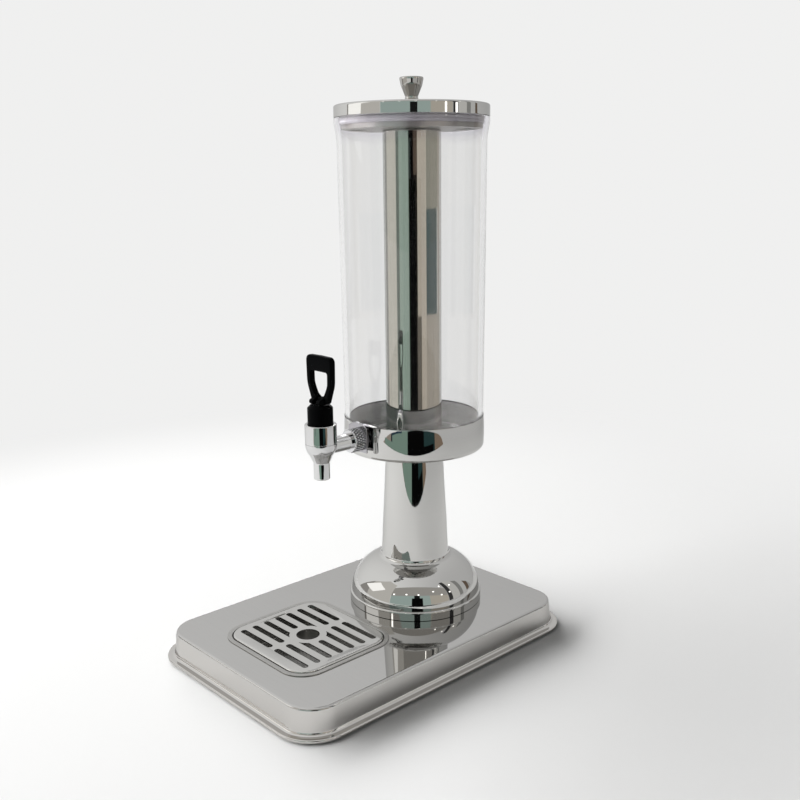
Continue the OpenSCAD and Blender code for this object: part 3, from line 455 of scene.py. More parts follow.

# Cup: a drawn steel cup on the column's head that holds the tank's foot. Outside it is polished and
# very slightly barrelled, inside it keeps the brushed grain of the sheet, and the top of its rim and
# inside is painted dark: a painted shadow of the gap under the tank.
cup_low, cup_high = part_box("cup")
cup_r, cup_z, cup_top = cup_high.x, cup_low.z, cup_high.z
cup_sheet, cup_bottom_r, rim_shade = 0.0008, 0.004, 0.0012
barrel_r, rim_lead, rim_bend, rim_edge = 0.212, 0.0007, 0.0003, 0.0002
barrel_z = np.append(np.linspace(cup_z + cup_bottom_r, cup_top - rim_lead, 25), cup_top - rim_bend)
barrel_drop = (barrel_z - (cup_z + cup_top) / 2) ** 2 / (2 * barrel_r)
cup_foot_r, cup_wall_r = cup_r - barrel_drop[0], cup_r - cup_sheet
cup_foot = rounded_path([
    (0, cup_z, 0), (cup_foot_r, cup_z, cup_bottom_r), (cup_foot_r, cup_z + cup_bottom_r, 0),
], steps=8)
cup_inside = rounded_path([
    (cup_r - barrel_drop[-1] - rim_edge, cup_top, 0), (cup_wall_r, cup_top, rim_edge),
    (cup_wall_r, cup_top - rim_shade, 0), (cup_wall_r, cup_z + cup_sheet, cup_bottom_r - cup_sheet),
    (0, cup_z + cup_sheet, 0),
], steps=8)
cup_side = np.stack([cup_r - barrel_drop, barrel_z], -1)
cup_line = np.concatenate([cup_foot[:-2], cup_side, cup_inside])
cup = spun("tank_cup", cup_line, column_y)
brushed_cup = metal("brushed_cup_steel", (0.98, 0.97, 0.96), (0.25, 0.245, 0.24), 0.12, 0.32, (500, 500, 500),
                    cloud_scale=30, bump=0.1, middle=axis)
grain_z, wall_z, floor_bare, wall_bare = cup_z + 0.001, cup_z + 0.008, 0.92, 0.85
tree, shader, place = opened(brushed_cup)
height = part(tree, place, "Z")
feed(tree, shader, {"Metallic": ranged(tree, height, grain_z, wall_z, floor_bare, wall_bare)})
painted_rim_shadow = metal("painted_rim_shadow_steel", (0.10, 0.095, 0.10), (0.07, 0.068, 0.07), 0.15, 0.3, (400, 400, 400))
fit(cup, "stand", "cup", "polished_steel", spun_steel, brushed_cup, painted_rim_shadow)
spot, facing = np.zeros((2, len(cup.data.polygons) * 3))
cup.data.polygons.foreach_get("center", spot)
cup.data.polygons.foreach_get("normal", facing)
spot, facing = spot.reshape(-1, 3) - [0, column_y, 0], facing.reshape(-1, 3)
inward_lean, upward_lean = 0.3, 0.5
inward = (spot[:, :2] * facing[:, :2]).sum(1) < -inward_lean * np.hypot(spot[:, 0], spot[:, 1])
inside = inward | ((facing[:, 2] > upward_lean) & (spot[:, 2] > cup_z + 0.5 * cup_sheet))
# Painted shadow: the rim's top and the top of the inner wall take the dark third finish, for the shade in the
# gap between cup and tank.
in_painted_rim_shadow = inside & (spot[:, 2] > cup_top - rim_shade)
cup.data.polygons.foreach_set("material_index", inside.astype(np.int32) + in_painted_rim_shadow)

# Gaskets and plug: silicone rings seal the tank on the cup and the ice tube on the tank's floor,
# and a turned plug in the tube's end takes the tie rod.
pale_silicone = moulding("pale_silicone", (0.62, 0.62, 0.60), (0.72, 0.72, 0.70), 0.45, 0.6, 1500, 0.2)
dress(pale_silicone, "pale_silicone", "tank_gasket", "tube_gasket")
dress(rod_steel, "satin_steel", "tube_plug")

# Tank: moulded from clear plastic with a slight draft, a thick floor and a lip that flares out
# under the lid. It drops into the cup.
tank_low, tank_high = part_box("tank")
tank_top, tank_z, lip_out = tank_high.z, tank_low.z, tank_high.x
tank_wall, tank_floor_t, lip_h, lip_band = 0.0038, 0.0032, 0.018, 0.004
lip_tint_from, lip_tint_to, shadow_tint = 0.024, 0.006, (0.98, 0.98, 0.98, 1)
flare, draft = 0.0022, 0.0018
foot_bend, wall_bend, neck_bend, lip_bend, lip_round, corner_r = 0.0042, 0.05, 0.04, 0.015, 0.0009, 0.001
neck_r = lip_out - flare
tank_r = neck_r - draft
mouth_in, neck_in, tank_in = lip_out - tank_wall, neck_r - tank_wall, tank_r - tank_wall
tank_line = rounded_path([
    (0, tank_z, 0), (tank_r, tank_z, foot_bend), (tank_r, cup_top, wall_bend),
    (neck_r, tank_top - lip_h, neck_bend), (lip_out, tank_top - lip_band, lip_bend),
    (lip_out, tank_top, lip_round), (mouth_in, tank_top, lip_round),
    (mouth_in, tank_top - lip_band, lip_bend), (neck_in, tank_top - lip_h, neck_bend),
    (tank_in, cup_top, wall_bend), (tank_in, tank_z + tank_floor_t, corner_r), (0, tank_z + tank_floor_t, 0),
], steps=8)
tank = spun("clear_tank", tank_line, column_y, 192)
clear_plastic, tree, shader, place = new_finish("clear_tank_plastic")
streak_tint, clear_tint, lip_tint = (0.915, 0.917, 0.922), (0.972, 0.972, 0.972), (0.82, 0.81, 0.845)
streak_lengths, plastic_ior = (70, 70, 1.0), 1.49
haze_scale, haze_from, haze_to, most_haze = 14, 0.45, 0.8, 0.03
streaks = noise(tree, vector_math(tree, "MULTIPLY", place, streak_lengths)[0], 1)
tint = mixed(tree, streaks, (*streak_tint, 1), (*clear_tint, 1))
haze = ranged(tree, noise(tree, place, haze_scale, 4), haze_from, haze_to, 0.0, most_haze)
feed(tree, shader, {"Base Color": tint, "Roughness": haze, "Transmission Weight": 1, "IOR": plastic_ior})
two_tone(clear_plastic, tank_top - lip_tint_from, tank_top - lip_tint_to, lip_tint)


def covered(tree, share, other):
    """Lays another surface over the finish's own by a share."""
    own = tree.nodes["Principled BSDF"].outputs[0]
    feed(tree, tree.nodes["Material Output"].inputs,
         {"Surface": make(tree, "MixShader", {0: share, 1: own, 2: other})[0]})


see_through = make(tree, "BsdfTransparent", {"Color": shadow_tint})[0]
covered(tree, make(tree, "LightPath")["Is Shadow Ray"], see_through)
fit(tank, "stand", "tank", "clear_plastic", clear_plastic)

# Ice tube: a length of 50.8 mm polished steel tube that stands on the tank's floor and is filled
# with ice, so the juice around it stays cold without being thinned.
tube_low, tube_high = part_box("ice_tube")
tube_r, tube_wall, tube_edge_r = tube_high.x, 0.0008, 0.0003
tube_line = rounded_path([
    (tube_r, tube_low.z, 0), (tube_r, tube_high.z, tube_edge_r),
    (tube_r - tube_wall, tube_high.z, tube_edge_r), (tube_r - tube_wall, tube_low.z, 0),
], closed=True, steps=5)
ice_tube = spun("ice_tube_sleeve", tube_line, column_y, 128)
tube_steel = metal("tube_steel", (0.68, 0.67, 0.65), (0.63, 0.62, 0.60), 0.02, 0.06, (700, 700, 30),
                   middle=axis)
fit(ice_tube, "stand", "ice_tube", "polished_steel", tube_steel)

# Tap body: turned brass, chromed. A band with a fine seam carries the bonnet, a curved bowl closes
# into a cone and the short spout, and a straight shank leads through cup and tank.
spout_low, tap_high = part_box("tap_body")
bonnet_low, bonnet_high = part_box("bonnet")
tap_y = (bonnet_low.y + bonnet_high.y) / 2
tap_r, tap_top = tap_high.x, tap_high.z
spout_z, socket_z = spout_low.z, bonnet_low.z
band_h, bowl_h, bowl_r, spout_r, bore_r, cone_drop = 0.0165, 0.0175, 0.017, 0.007, 0.0044, 0.0104
seam_z = tap_top - band_h
bowl_z = seam_z - bowl_h
socket_wall, chamber_r, seam_cut, spout_edge = 0.0026, 0.0082, 0.0004, 0.001
socket_r, spout_tip_r = tap_r - socket_wall, spout_r - spout_edge
chamber_up, throat_up = 0.0076, 0.003
chamber_z, throat_z = bowl_z + chamber_up, bowl_z + throat_up
spout_round, cone_round, seam_round, band_round, socket_round, bore_round = 9e-4, 2e-3, 2e-4, 7e-4, 4e-4, 5e-4
bowl_end = -np.arcsin(cone_drop / bowl_r)
bowl_arc = arc_between((tap_r - bowl_r, seam_z - seam_cut), bowl_r, bowl_end, 0, 20)
outer_tap = rounded_path([
    (spout_tip_r, spout_z, 0), (spout_r, spout_z, spout_round), (spout_r, bowl_z, cone_round),
    bowl_arc[0].tolist() + [0],
], steps=8)
band_line = rounded_path([
    (tap_r, seam_z - seam_cut, 0), (tap_r - seam_cut, seam_z - 0.5 * seam_cut, 0),
    (tap_r - seam_cut, seam_z + 0.5 * seam_cut, 0), (tap_r, seam_z + seam_cut, seam_round),
    (tap_r, tap_top, band_round), (socket_r, tap_top, socket_round), (socket_r, socket_z, 0),
    (chamber_r, socket_z, 0), (chamber_r, chamber_z, 0), (bore_r, throat_z, 0), (bore_r, spout_z, bore_round),
    (spout_tip_r, spout_z, 0),
], steps=6)
tap_line = np.concatenate([outer_tap, bowl_arc[1:-1], band_line[:-1]])
shank_up, shank_in, shank_r, shank_bore_r, end_round, hole_round = 0.0183, 0.009, 0.007, 0.0045, 5e-4, 3e-4
tap_z = cup_z + shank_up
shank_start, shank_end = column_y - tap_y - shank_in, column_y - tap_high.y


def lathed_shank(line, steps=96):
    """The same sheet laid down along the shank's axis: the line gives (radius, distance), and the distance
    runs from the column's axis towards the tap."""
    return turned(line, tap_z, steps)[..., [0, 2, 1]] * [1, -1, 1] + [0, column_y, 0]


shank_line = rounded_path([
    (shank_r, shank_start, 0), (shank_r, shank_end, end_round), (shank_bore_r, shank_end, hole_round),
    (shank_bore_r, shank_start, 0),
], closed=True, steps=5)
tap = skin("tap_body_chromed", (turned(tap_line, tap_y, 128), True, True),
           (lathed_shank(shank_line), True, True))


def plated(name, bright, dull, smoothest, roughest):
    """Chromed finish: rubbed metal with no direction of rubbing."""
    return metal(name, bright, dull, smoothest, roughest, (500, 500, 500), cloud_scale=60)


chrome = plated("tap_chrome", (0.70, 0.70, 0.70), (0.64, 0.64, 0.64), 0.01, 0.04)
fit(tap, "stand", "tap_body", "tap_chrome", chrome)

# Saddle washer and seal: a chromed plate with a rounded top takes the collar's pull, and a boss behind
# it, hollowed to the cup's curve, rests on a thin silicone ring.
saddle_low, saddle_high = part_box("saddle_washer")
saddle_half_w, plate_front = saddle_high.x, column_y - saddle_low.y
plate_t, plate_edge, plate_foot_r, seal_gap = 0.0012, 0.0003, 0.001, 0.001
plate_top, plate_foot, plate_top_r, boss_r = saddle_high.z - tap_z, saddle_low.z - tap_z, 0.0187, 0.009


def mirrored(half):
    """Closed outline from its right half and the half's mirror image."""
    return np.concatenate([half, half[-2:0:-1] * [-1, 1]])


plate_turn = np.arccos(saddle_half_w / plate_top_r)
plate_arc = arc_between((0, plate_top - plate_top_r), plate_top_r, np.pi / 2, plate_turn, 24)
plate_side = rounded_path([
    plate_arc[-1].tolist() + [0], (saddle_half_w, plate_foot, plate_foot_r), (0, plate_foot, 0),
], steps=6)
plate_outline = mirrored(np.concatenate([plate_arc, plate_side[1:]]))
plate_rows = rounded_path([
    (-saddle_half_w, plate_front, 0), (0, plate_front, plate_edge), (0, plate_front - plate_t, plate_edge),
    (-saddle_half_w, plate_front - plate_t, 0),
], steps=4)


def drawn_in(outline, rows):
    """Sheet of a plate: each row shrinks the outline about the shank by its first number over the half width
    and stands at its second number from the column's axis."""
    flat = (1 + rows[:, 0, None, None] / saddle_half_w) * outline
    far = np.broadcast_to(column_y - rows[:, 1, None], flat.shape[:2])
    return np.stack([flat[..., 0], far, tap_z + flat[..., 1]], -1)


def hollowed_boss(steps=96):
    """Ring about the shank from the plate's back to the cup: each row is a radius and the share of the way
    back, and the way ends on an upright round about the column's axis."""
    rows = np.array([(shank_r, 0), (boss_r, 0), (boss_r, 1), (shank_r, 1)], float)
    angle = np.linspace(0, 2 * np.pi, steps, endpoint=False)
    x, up = rows[:, :1] * np.cos(angle), rows[:, :1] * np.sin(angle)
    front = plate_front - plate_t / 2
    far = front + rows[:, 1:] * (np.sqrt((cup_r + seal_gap) ** 2 - x ** 2) - front)
    return np.stack([x, column_y - far, tap_z + up], -1)


saddle = skin("saddle_washer_plate", (drawn_in(plate_outline, plate_rows), False, True),
              (hollowed_boss(), True, True))
# Painted shade: the saddle's chrome is made darker than the tap's.
shade_darkened_chrome = plated("saddle_chrome_painted_shade", (0.44, 0.43, 0.45), (0.38, 0.37, 0.39), 0.03, 0.08)
fit(saddle, "stand", "saddle_washer", "tap_chrome", shade_darkened_chrome)
grey_silicone = moulding("grey_silicone", (0.20, 0.19, 0.21), (0.27, 0.26, 0.28), 0.4, 0.55, 1500, 0.15)
dress(grey_silicone, "grey_silicone", "outer_seal")

# Knurled collar: a round chromed nut on the shank that clamps the tap against the saddle. Its rim is
# knurled crosswise between two bevels.
collar_low, collar_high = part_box("knurled_collar")
collar_r = collar_high.x
collar_near, collar_far = column_y - collar_high.y, column_y - collar_low.y
knurl_count, knurl_deep, knurl_lean, knurl_fade = 26, 0.0008, 200.0, 0.0002
collar_bevel, bevel_round, groove_painted_shade = 0.0011, 0.0003, (0.03, 0.03, 0.035, 1)


def knurled(line, steps=360):
    """Lathed sheet whose rim is cut by two crossed sets of grooves: the radius drops by the deeper of two
    triangle waves that lean opposite ways, and the cut fades out towards the bevels."""
    sheet = lathed_shank(line, steps)
    angle = np.linspace(0, 2 * np.pi, steps, endpoint=False)
    lean = knurl_lean * line[:, 1, None]
    wave_a = np.abs((knurl_count * angle / (2 * np.pi) + lean) % 1 - 0.5) * 2
    wave_b = np.abs((knurl_count * angle / (2 * np.pi) - lean) % 1 - 0.5) * 2
    cut = knurl_deep * (1 - np.minimum(wave_a, wave_b))
    drop = cut * np.clip((line[:, 0, None] - (collar_r - knurl_fade)) / knurl_fade, 0, 1)
    sheet[..., 0] -= drop * np.cos(angle)
    sheet[..., 2] -= drop * np.sin(angle)
    return sheet


rim_rows = np.linspace(collar_near + collar_bevel, collar_far - collar_bevel, 26)
collar_line = np.concatenate([
    [(shank_r, collar_near), (collar_r - collar_bevel, collar_near)],
    np.stack([np.full_like(rim_rows, collar_r), rim_rows], -1),
    rounded_path([
        (collar_r, collar_far - collar_bevel, 0), (collar_r - collar_bevel, collar_far, bevel_round),
        (shank_r, collar_far, 0),
    ], steps=4)[1:],
])
collar = skin("knurled_collar_nut", (knurled(collar_line), True, True), crease=20)
knurl_chrome = plated("knurl_chrome", (0.70, 0.70, 0.715), (0.60, 0.60, 0.61), 0.02, 0.05)
tree, shader, place = opened(knurl_chrome)
collar_y, collar_z = (collar_low.y + collar_high.y) / 2, (collar_low.z + collar_high.z) / 2
rim_half = (collar_high.y - collar_low.y) / 2 - collar_bevel
# Painted shade: the grooves of the knurled rim are coloured near black, and the ridges and bevels keep the
# chrome.
off_axis = vector_math(tree, "MULTIPLY_ADD", place, (1, 0, 1), (0, 0, -collar_z))[0]
from_axis = vector_math(tree, "LENGTH", off_axis)["Value"]
ridge = ranged(tree, from_axis, collar_r - knurl_deep, collar_r - 0.3 * knurl_deep)
on_rim = number_math(tree, "COMPARE", part(tree, place, "Y"), collar_y, rim_half)
out_of_painted_shade = number_math(tree, "MAXIMUM", ridge, number_math(tree, "SUBTRACT", 1, on_rim))
before = shader["Base Color"].links[0].from_socket
feed(tree, shader, {"Base Color": mixed(tree, out_of_painted_shade, groove_painted_shade, before)})
fit(collar, "stand", "knurled_collar", "tap_chrome", knurl_chrome)

# Lock nut: a moulded white plastic nut on the shank inside the tank draws the tap tight, over
# a silicone ring that seals the wall.
white_plastic = moulding("white_plastic", (0.70, 0.70, 0.68), (0.78, 0.78, 0.76), 0.3, 0.45, 1500, 0.15)
dress(white_plastic, "white_plastic", "lock_nut")
ring_silicone = moulding("ring_silicone", (0.40, 0.38, 0.42), (0.48, 0.46, 0.50), 0.45, 0.6, 1500, 0.2)
dress(ring_silicone, "pale_silicone", "inner_seal")

# Bonnet: a black moulded cap that screws into the band and guides the valve stem. Its top slopes
# in to the lever's foot.
bonnet_r, bonnet_z, bonnet_bevel, stem_hole_r = bonnet_high.x, bonnet_high.z, 0.0027, 0.00255
bonnet_edge_r, hole_edge_r, roof_t, skirt_t = 0.0008, 0.0003, 0.005, 0.0022
roof_z, skirt_r = bonnet_z - roof_t, bonnet_r - skirt_t
bonnet_line = rounded_path([
    (bonnet_r, socket_z, 0), (bonnet_r, bonnet_z - bonnet_bevel, bonnet_edge_r),
    (bonnet_r - bonnet_bevel, bonnet_z, bonnet_edge_r), (stem_hole_r, bonnet_z, hole_edge_r),
    (stem_hole_r, roof_z, 0), (skirt_r, roof_z, 0), (skirt_r, socket_z, 0),
], closed=True, steps=6)
bonnet = spun("tap_bonnet", bonnet_line, tap_y, 112)
black_plastic = moulding("black_plastic", (0.0014, 0.0016, 0.0018), (0.0026, 0.0028, 0.003), 0.18, 0.3, 2200,
                         0.12)
black_gloss = 0.012
feed(black_plastic.node_tree, opened(black_plastic)[1], {"Specular IOR Level": black_gloss})
fit(bonnet, "stand", "bonnet", "black_plastic", black_plastic)

# Valve: a turned steel stem carries a rubber seat washer, and a coil spring under the bonnet's roof
# presses it down on its seat. The stem's tongue comes out of the bonnet to the lever's pin.
dress(rod_steel, "satin_steel", "valve_stem", "lever_pin")
dress(foot_rubber, "black_rubber", "seat_washer")
spring_low, spring_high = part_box("valve_spring")
wire_r, turns, wire_sides = 0.00045, 8, 12
coil_r = spring_high.x - wire_r
coil_angle = np.linspace(0, 2 * np.pi * turns, 36 * turns + 1)[:, None]
coil_z = spring_low.z + wire_r + (spring_high.z - spring_low.z - 2 * wire_r) * coil_angle / coil_angle[-1]


def wire(thickness):
    """Wire along a helix about the stem: a small upright circle carried round while it climbs evenly."""
    around = np.linspace(0, 2 * np.pi, wire_sides, endpoint=False)
    out, up = coil_r + thickness * np.cos(around), thickness * np.sin(around)
    return np.stack([out * np.cos(coil_angle), tap_y + out * np.sin(coil_angle), coil_z + up], -1)


core = wire(0.0)
coil = skin("valve_coil", (np.concatenate([core[:1], wire(wire_r), core[-1:]]), False, True))
coil.data.materials.append(rod_steel)
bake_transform(coil)
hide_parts("valve_spring")

# Lever: a black moulded finger loop that stands on the bonnet and rocks on its pin to lift the stem.
# Its sides run in to a solid forked foot.
lever_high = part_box("lever")[1]
pin_low, pin_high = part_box("lever_pin")
pin_z = (pin_low.z + pin_high.z) / 2
toe_r, toe_reach, pin_cover = 0.0022, 0.004, 0.0003
fork_slot, slot_edge_r, cheek_edge_r = 0.0023, 0.0003, 0.0012
fork_half, loop_back, foot_rise = pin_high.x + pin_cover, 0.0018, 0.0026
loop_top, loop_half_w, loop_t = lever_high.z, lever_high.x, 0.0055
grip_h, loop_bar, loop_low, loop_foot = 0.0135, 0.0056, pin_z + 0.0029, pin_z - 0.0014
outer_loop = rounded_path([
    (0, loop_top, 0), (loop_half_w - 0.0003, loop_top - 0.0004, 0.0042), (0.0159, pin_z + 0.0150, 0.025),
    (0.0098, loop_foot, 0.002), (0, loop_foot, 0),
], steps=10)
inner_loop = rounded_path([
    (0, loop_top - grip_h, 0), (loop_half_w - loop_bar, loop_top - grip_h, 0.0025),
    (0.0109, pin_z + 0.0145, 0.010), (0.0066, pin_z + 0.0062, 0.006), (0.0015, loop_low, 0.0015),
    (0, loop_low, 0),
], steps=10)


def evenly(line, count):
    """Points at even steps of arc length along a line."""
    run = np.concatenate([[0], np.cumsum(np.linalg.norm(np.diff(line, axis=0), axis=1))])
    at = np.linspace(0, run[-1], count)
    return np.stack([np.interp(at, run, line[:, 0]), np.interp(at, run, line[:, 1])], -1)


def loop_bar_sheet(outer, inner, steps=32, squareness=0.28):
    """Sheet of the loop between two outlines: halfway between them plus half their difference times the
    cosine of the turn about the bar, and half the thickness times its sine. Cosine and sine keep their sign
    and are raised to a small power, which squares the bar."""
    turn = np.linspace(0, 2 * np.pi, steps, endpoint=False)[:, None]
    across, thick = [np.sign(wave) * np.abs(wave) ** squareness for wave in (np.cos(turn), np.sin(turn))]
    flat = (outer + inner)[None] / 2 + across[..., None] * ((outer - inner)[None] / 2)
    y = tap_y + loop_back + loop_t / 2 * np.broadcast_to(thick, flat.shape[:2])
    return np.stack([flat[..., 0], y, flat[..., 1]], -1)


def fork_cheek(side):
    """One cheek of the foot: a rounded wedge about pin, back and toe, drawn in at both ends by an arc."""
    spans, counts = [(-90, 0), (0, 100), (100, 270)], [13, 13, 25]
    angle = np.radians(np.concatenate([np.linspace(*span, count) for span, count in zip(spans, counts)]))
    forward = np.repeat([0.0, 0.0, -toe_reach], counts)
    up = np.repeat([0.0, foot_rise, 0.0], counts)
    ends = rounded_path([
        (0, fork_slot, 0), (toe_r, fork_slot, slot_edge_r), (toe_r, fork_half, cheek_edge_r),
        (0, fork_half, 0),
    ], steps=6)
    reach = ends[:, 0, None]
    share = np.minimum(1, reach / toe_r)
    return np.stack([
        np.broadcast_to(side * ends[:, 1, None], (len(ends), len(angle))),
        tap_y + forward * share + reach * np.cos(angle), pin_z + up * share + reach * np.sin(angle),
    ], -1)


loop_points = loop_bar_sheet(mirrored(evenly(outer_loop, 90)), mirrored(evenly(inner_loop, 90)))
lever = skin("lever_loop", (loop_points, True, True), (fork_cheek(1), False, True),
             (fork_cheek(-1), False, True), crease=50)
fit(lever, "lever", "lever", "black_plastic", black_plastic)

# Lid cap: a spun and polished steel cap that lies flush on the tank's lip and turns over a tight edge
# into a flat top.
cap_low, cap_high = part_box("lid_cap")
cap_r, cap_z, cap_top = cap_high.x, cap_low.z, cap_high.z
cap_sheet, cap_edge_r, cap_lip_r = 0.0008, 0.0018, 0.0003
cap_line = rounded_path([
    (0, cap_top, 0), (cap_r, cap_top, cap_edge_r), (cap_r, cap_z, cap_lip_r),
    (cap_r - cap_sheet, cap_z, cap_lip_r),
    (cap_r - cap_sheet, cap_top - cap_sheet, cap_edge_r - cap_sheet), (0, cap_top - cap_sheet, 0),
], steps=10)
lid_cap = spun("lid_cap_spun", cap_line, column_y, 192)
fit(lid_cap, "lid", "lid_cap", "polished_steel", spun_steel)

# Lid liner: a pressed steel pan under the cap that centres the lid in the tank's mouth. Vent holes
# in its floor let air in as the juice runs out.
liner_steel = metal("liner_steel", (0.50, 0.485, 0.46), (0.43, 0.415, 0.39), 0.34, 0.48, (900, 900, 40),
                    middle=axis)
dress(liner_steel, "polished_steel", "lid_liner")

# Lid seal: a ring of grey silicone, moulded with two soft lips and stretched around the liner.
# The lips touch the tank and keep the lid from rattling.
seal_low, seal_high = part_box("lid_seal")
seal_r, seal_t, lip_deep = seal_high.x, 0.0016, 0.0006
lip_rows = np.linspace(seal_low.z, seal_high.z, 33)
wave = 0.5 - 0.5 * np.cos(4 * np.pi * (lip_rows - seal_low.z) / (seal_high.z - seal_low.z))
seal_line = np.concatenate([
    np.stack([seal_r - lip_deep * (1 - wave), lip_rows], -1),
    [(seal_r - seal_t, seal_high.z), (seal_r - seal_t, seal_low.z)],
])
lid_seal = spun("lid_seal_ring", seal_line, column_y)
lid_silicone = moulding("lid_silicone", (0.40, 0.385, 0.40), (0.48, 0.465, 0.48), 0.4, 0.55, 1500, 0.15)
fit(lid_seal, "lid", "lid_seal", "grey_silicone", lid_silicone)

# Knob: turned from steel bar and polished, a goblet with a full head, a waist and a small foot.
# A screw through the cap from below holds it.
knob_low, knob_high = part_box("knob")
knob_top_r, knob_foot, knob_rim_z = knob_high.x, knob_low.z, knob_low.z + 0.021
knob_foot_r, knob_waist_r, knob_head_r, knob_edge_r = 0.0067, 0.0055, 0.0092, 0.0009
knob_side = rounded_path([
    (knob_foot_r, knob_foot, 0), (knob_foot_r, knob_foot + 0.0014, 0.0006),
    (knob_waist_r, knob_foot + 0.0068, 0.004), (knob_head_r, knob_foot + 0.0158, 0.012),
    (knob_top_r, knob_rim_z, 0),
], steps=10)
knob_cap = rounded_path([
    (knob_top_r, knob_rim_z, 0), (knob_top_r, knob_high.z, knob_edge_r), (0, knob_high.z, 0),
], steps=8)
knob_line = np.concatenate([[(0, knob_foot)], knob_side, knob_cap[1:]])
knob = spun("lid_knob", knob_line, column_y, 96)
knob_chrome = plated("knob_chrome", (0.52, 0.51, 0.49), (0.40, 0.39, 0.375), 0.02, 0.06)
fit(knob, "lid", "knob", "tap_chrome", knob_chrome)
dress(rod_steel, "satin_steel", "knob_screw")

# Floor: a plain pale sheet that fades into the background. Near the object it is lit and keeps
# the shadow; further out it glows, and metal sees a painted fall of light from the lit side to the other.
toward = np.array([0.7326, -0.6807])
rightward = np.array([0.6807, 0.7326])
background, lit_side, far_side, floor_run, wall_run = 0.87, 0.98, 0.62, 0.7, 0.9
wall_white = (1.0, 1.0, 0.995, 1)
floor_half, floor_z, fade_from, fade_to = 6.0, -0.0002, 0.40, 0.95
grid = np.linspace(-floor_half, floor_half, 25)
floor_x, floor_y = np.meshgrid(grid, grid)
floor = skin("floor_sheet", (np.stack([floor_x, floor_y, 0 * floor_x + floor_z], -1), False, False))


def falling_off(tree, place, half_run):
    """Level that falls along the picture's right from the lit side to the other, with the background's own
    level for rays straight from the camera or through the tank; place is a position or a direction."""
    run = vector_math(tree, "DOT_PRODUCT", place, (*rightward, 0))["Value"]
    fall = ranged(tree, run, -half_run, half_run, lit_side, far_side, smooth=True)
    path = make(tree, "LightPath")
    plain = number_math(tree, "MAXIMUM", path["Is Camera Ray"], path["Is Transmission Ray"])
    return make(tree, "Mix", {"Factor": plain, "A": fall, "B": background})["Result"], path


floor_paper, tree, shader, place = new_finish("floor_paper")
paper_white, paper_rough = (0.78, 0.78, 0.775, 1), 0.9
feed(tree, shader, {"Base Color": paper_white, "Roughness": paper_rough, "Specular IOR Level": 0.0})
distance = vector_math(tree, "LENGTH", place)["Value"]
fade = ranged(tree, distance, fade_from, fade_to, smooth=True)
far_level = falling_off(tree, place, floor_run)[0]
covered(tree, fade, make(tree, "Emission", {"Color": wall_white, "Strength": far_level})[0])
floor.data.materials.append(floor_paper)

# Surroundings: pale studio walls, seen straight on, in metal and through the tank, and a softer
# level for the light they give.
room_light = 0.14
studio = bpy.data.worlds.new("studio")
bpy.context.scene.world = studio
studio.use_nodes = True
tree = studio.node_tree
seen_level, seen = falling_off(tree, make(tree, "TexCoord")["Generated"], wall_run)
level = make(tree, "Mix", {"Factor": seen["Is Diffuse Ray"], "A": seen_level, "B": room_light})["Result"]
feed(tree, tree.nodes["Background"].inputs, {"Color": wall_white, "Strength": level})

# Surroundings in the metal: coloured boards that only show as reflections. The table ends in front of
# the viewer in a straight edge; beyond it a floor runs to a wall, and a ceiling with lamps comes forward.
hub, eye_z = np.array([0.0, column_y]), 0.05


def board(name, first, last, rows, colour, strength=1.0, in_tank=False):
    """Board round the column between two angles from the viewer's direction (right is positive). Each row is
    a (distance, height) pair, both numbers or functions of the angle. A board shows in bare metal or else
    in what stands in the tank. Places lie at the distance from the column along the angle's heading."""
    angle = np.radians(np.linspace(first, last, max(4, int(abs(last - first) / 2) + 2)))
    heading = np.cos(angle)[:, None] * toward + np.sin(angle)[:, None] * rightward
    reach, height = [
        np.stack([side(angle) if callable(side) else np.full_like(angle, side) for side in column])
        for column in zip(*rows)
    ]
    points = np.concatenate([hub + reach[..., None] * heading, height[..., None]], -1)
    sheet = skin(name, (points, False, False))
    paint = bpy.data.materials.new(name + "_paint")
    paint.use_nodes = True
    tree = paint.node_tree
    tree.nodes.remove(tree.nodes["Principled BSDF"])
    surface = make(tree, "Emission", {"Color": (*colour, 1), "Strength": strength})[0]
    if in_tank:
        mirrored_often = make(tree, "LightPath")["Glossy Depth"]
        in_metal = number_math(tree, "GREATER_THAN", mirrored_often, 0.5)
        clear = make(tree, "BsdfTransparent")[0]
        surface = make(tree, "MixShader", {0: in_metal, 1: clear, 2: surface})[0]
    feed(tree, tree.nodes["Material Output"].inputs, {"Surface": surface})
    sheet.data.materials.append(paint)
    sheet.visible_camera = sheet.visible_diffuse = sheet.visible_shadow = sheet.visible_volume_scatter = False
    sheet.visible_glossy, sheet.visible_transmission = not in_tank, in_tank


def straight_line(distance):
    """Distance, by angle, of a straight line across the view."""
    return lambda angle: distance / np.cos(angle)


def raised(distance, angles, slopes):
    """Height, by angle, of a line seen from low on the column at given slopes for some angles, in degrees."""
    return lambda angle: eye_z + distance * np.tan(np.radians(np.interp(np.degrees(angle), angles, slopes)))


def gap_end(angle):
    """Distance at which the dark floor beyond the table ends: a wide arc that meets the table's edge."""
    turns = [-49.5, -48.5, -45, -38.6, -32, -26, -3, 20.6, 36.4, 41.2, 43.6, 44.5]
    reach = [0.86, 0.89, 1.055, 1.31, 1.47, 1.62, 1.79, 1.63, 1.285, 1.07, 0.885, 0.79]
    return np.maximum(table_edge(angle) + least_gap, np.interp(np.degrees(angle), turns, reach))


def upright(distance, low, high):
    """Rows of a board that stands upright between two heights."""
    return [(distance, low), (distance, high)]


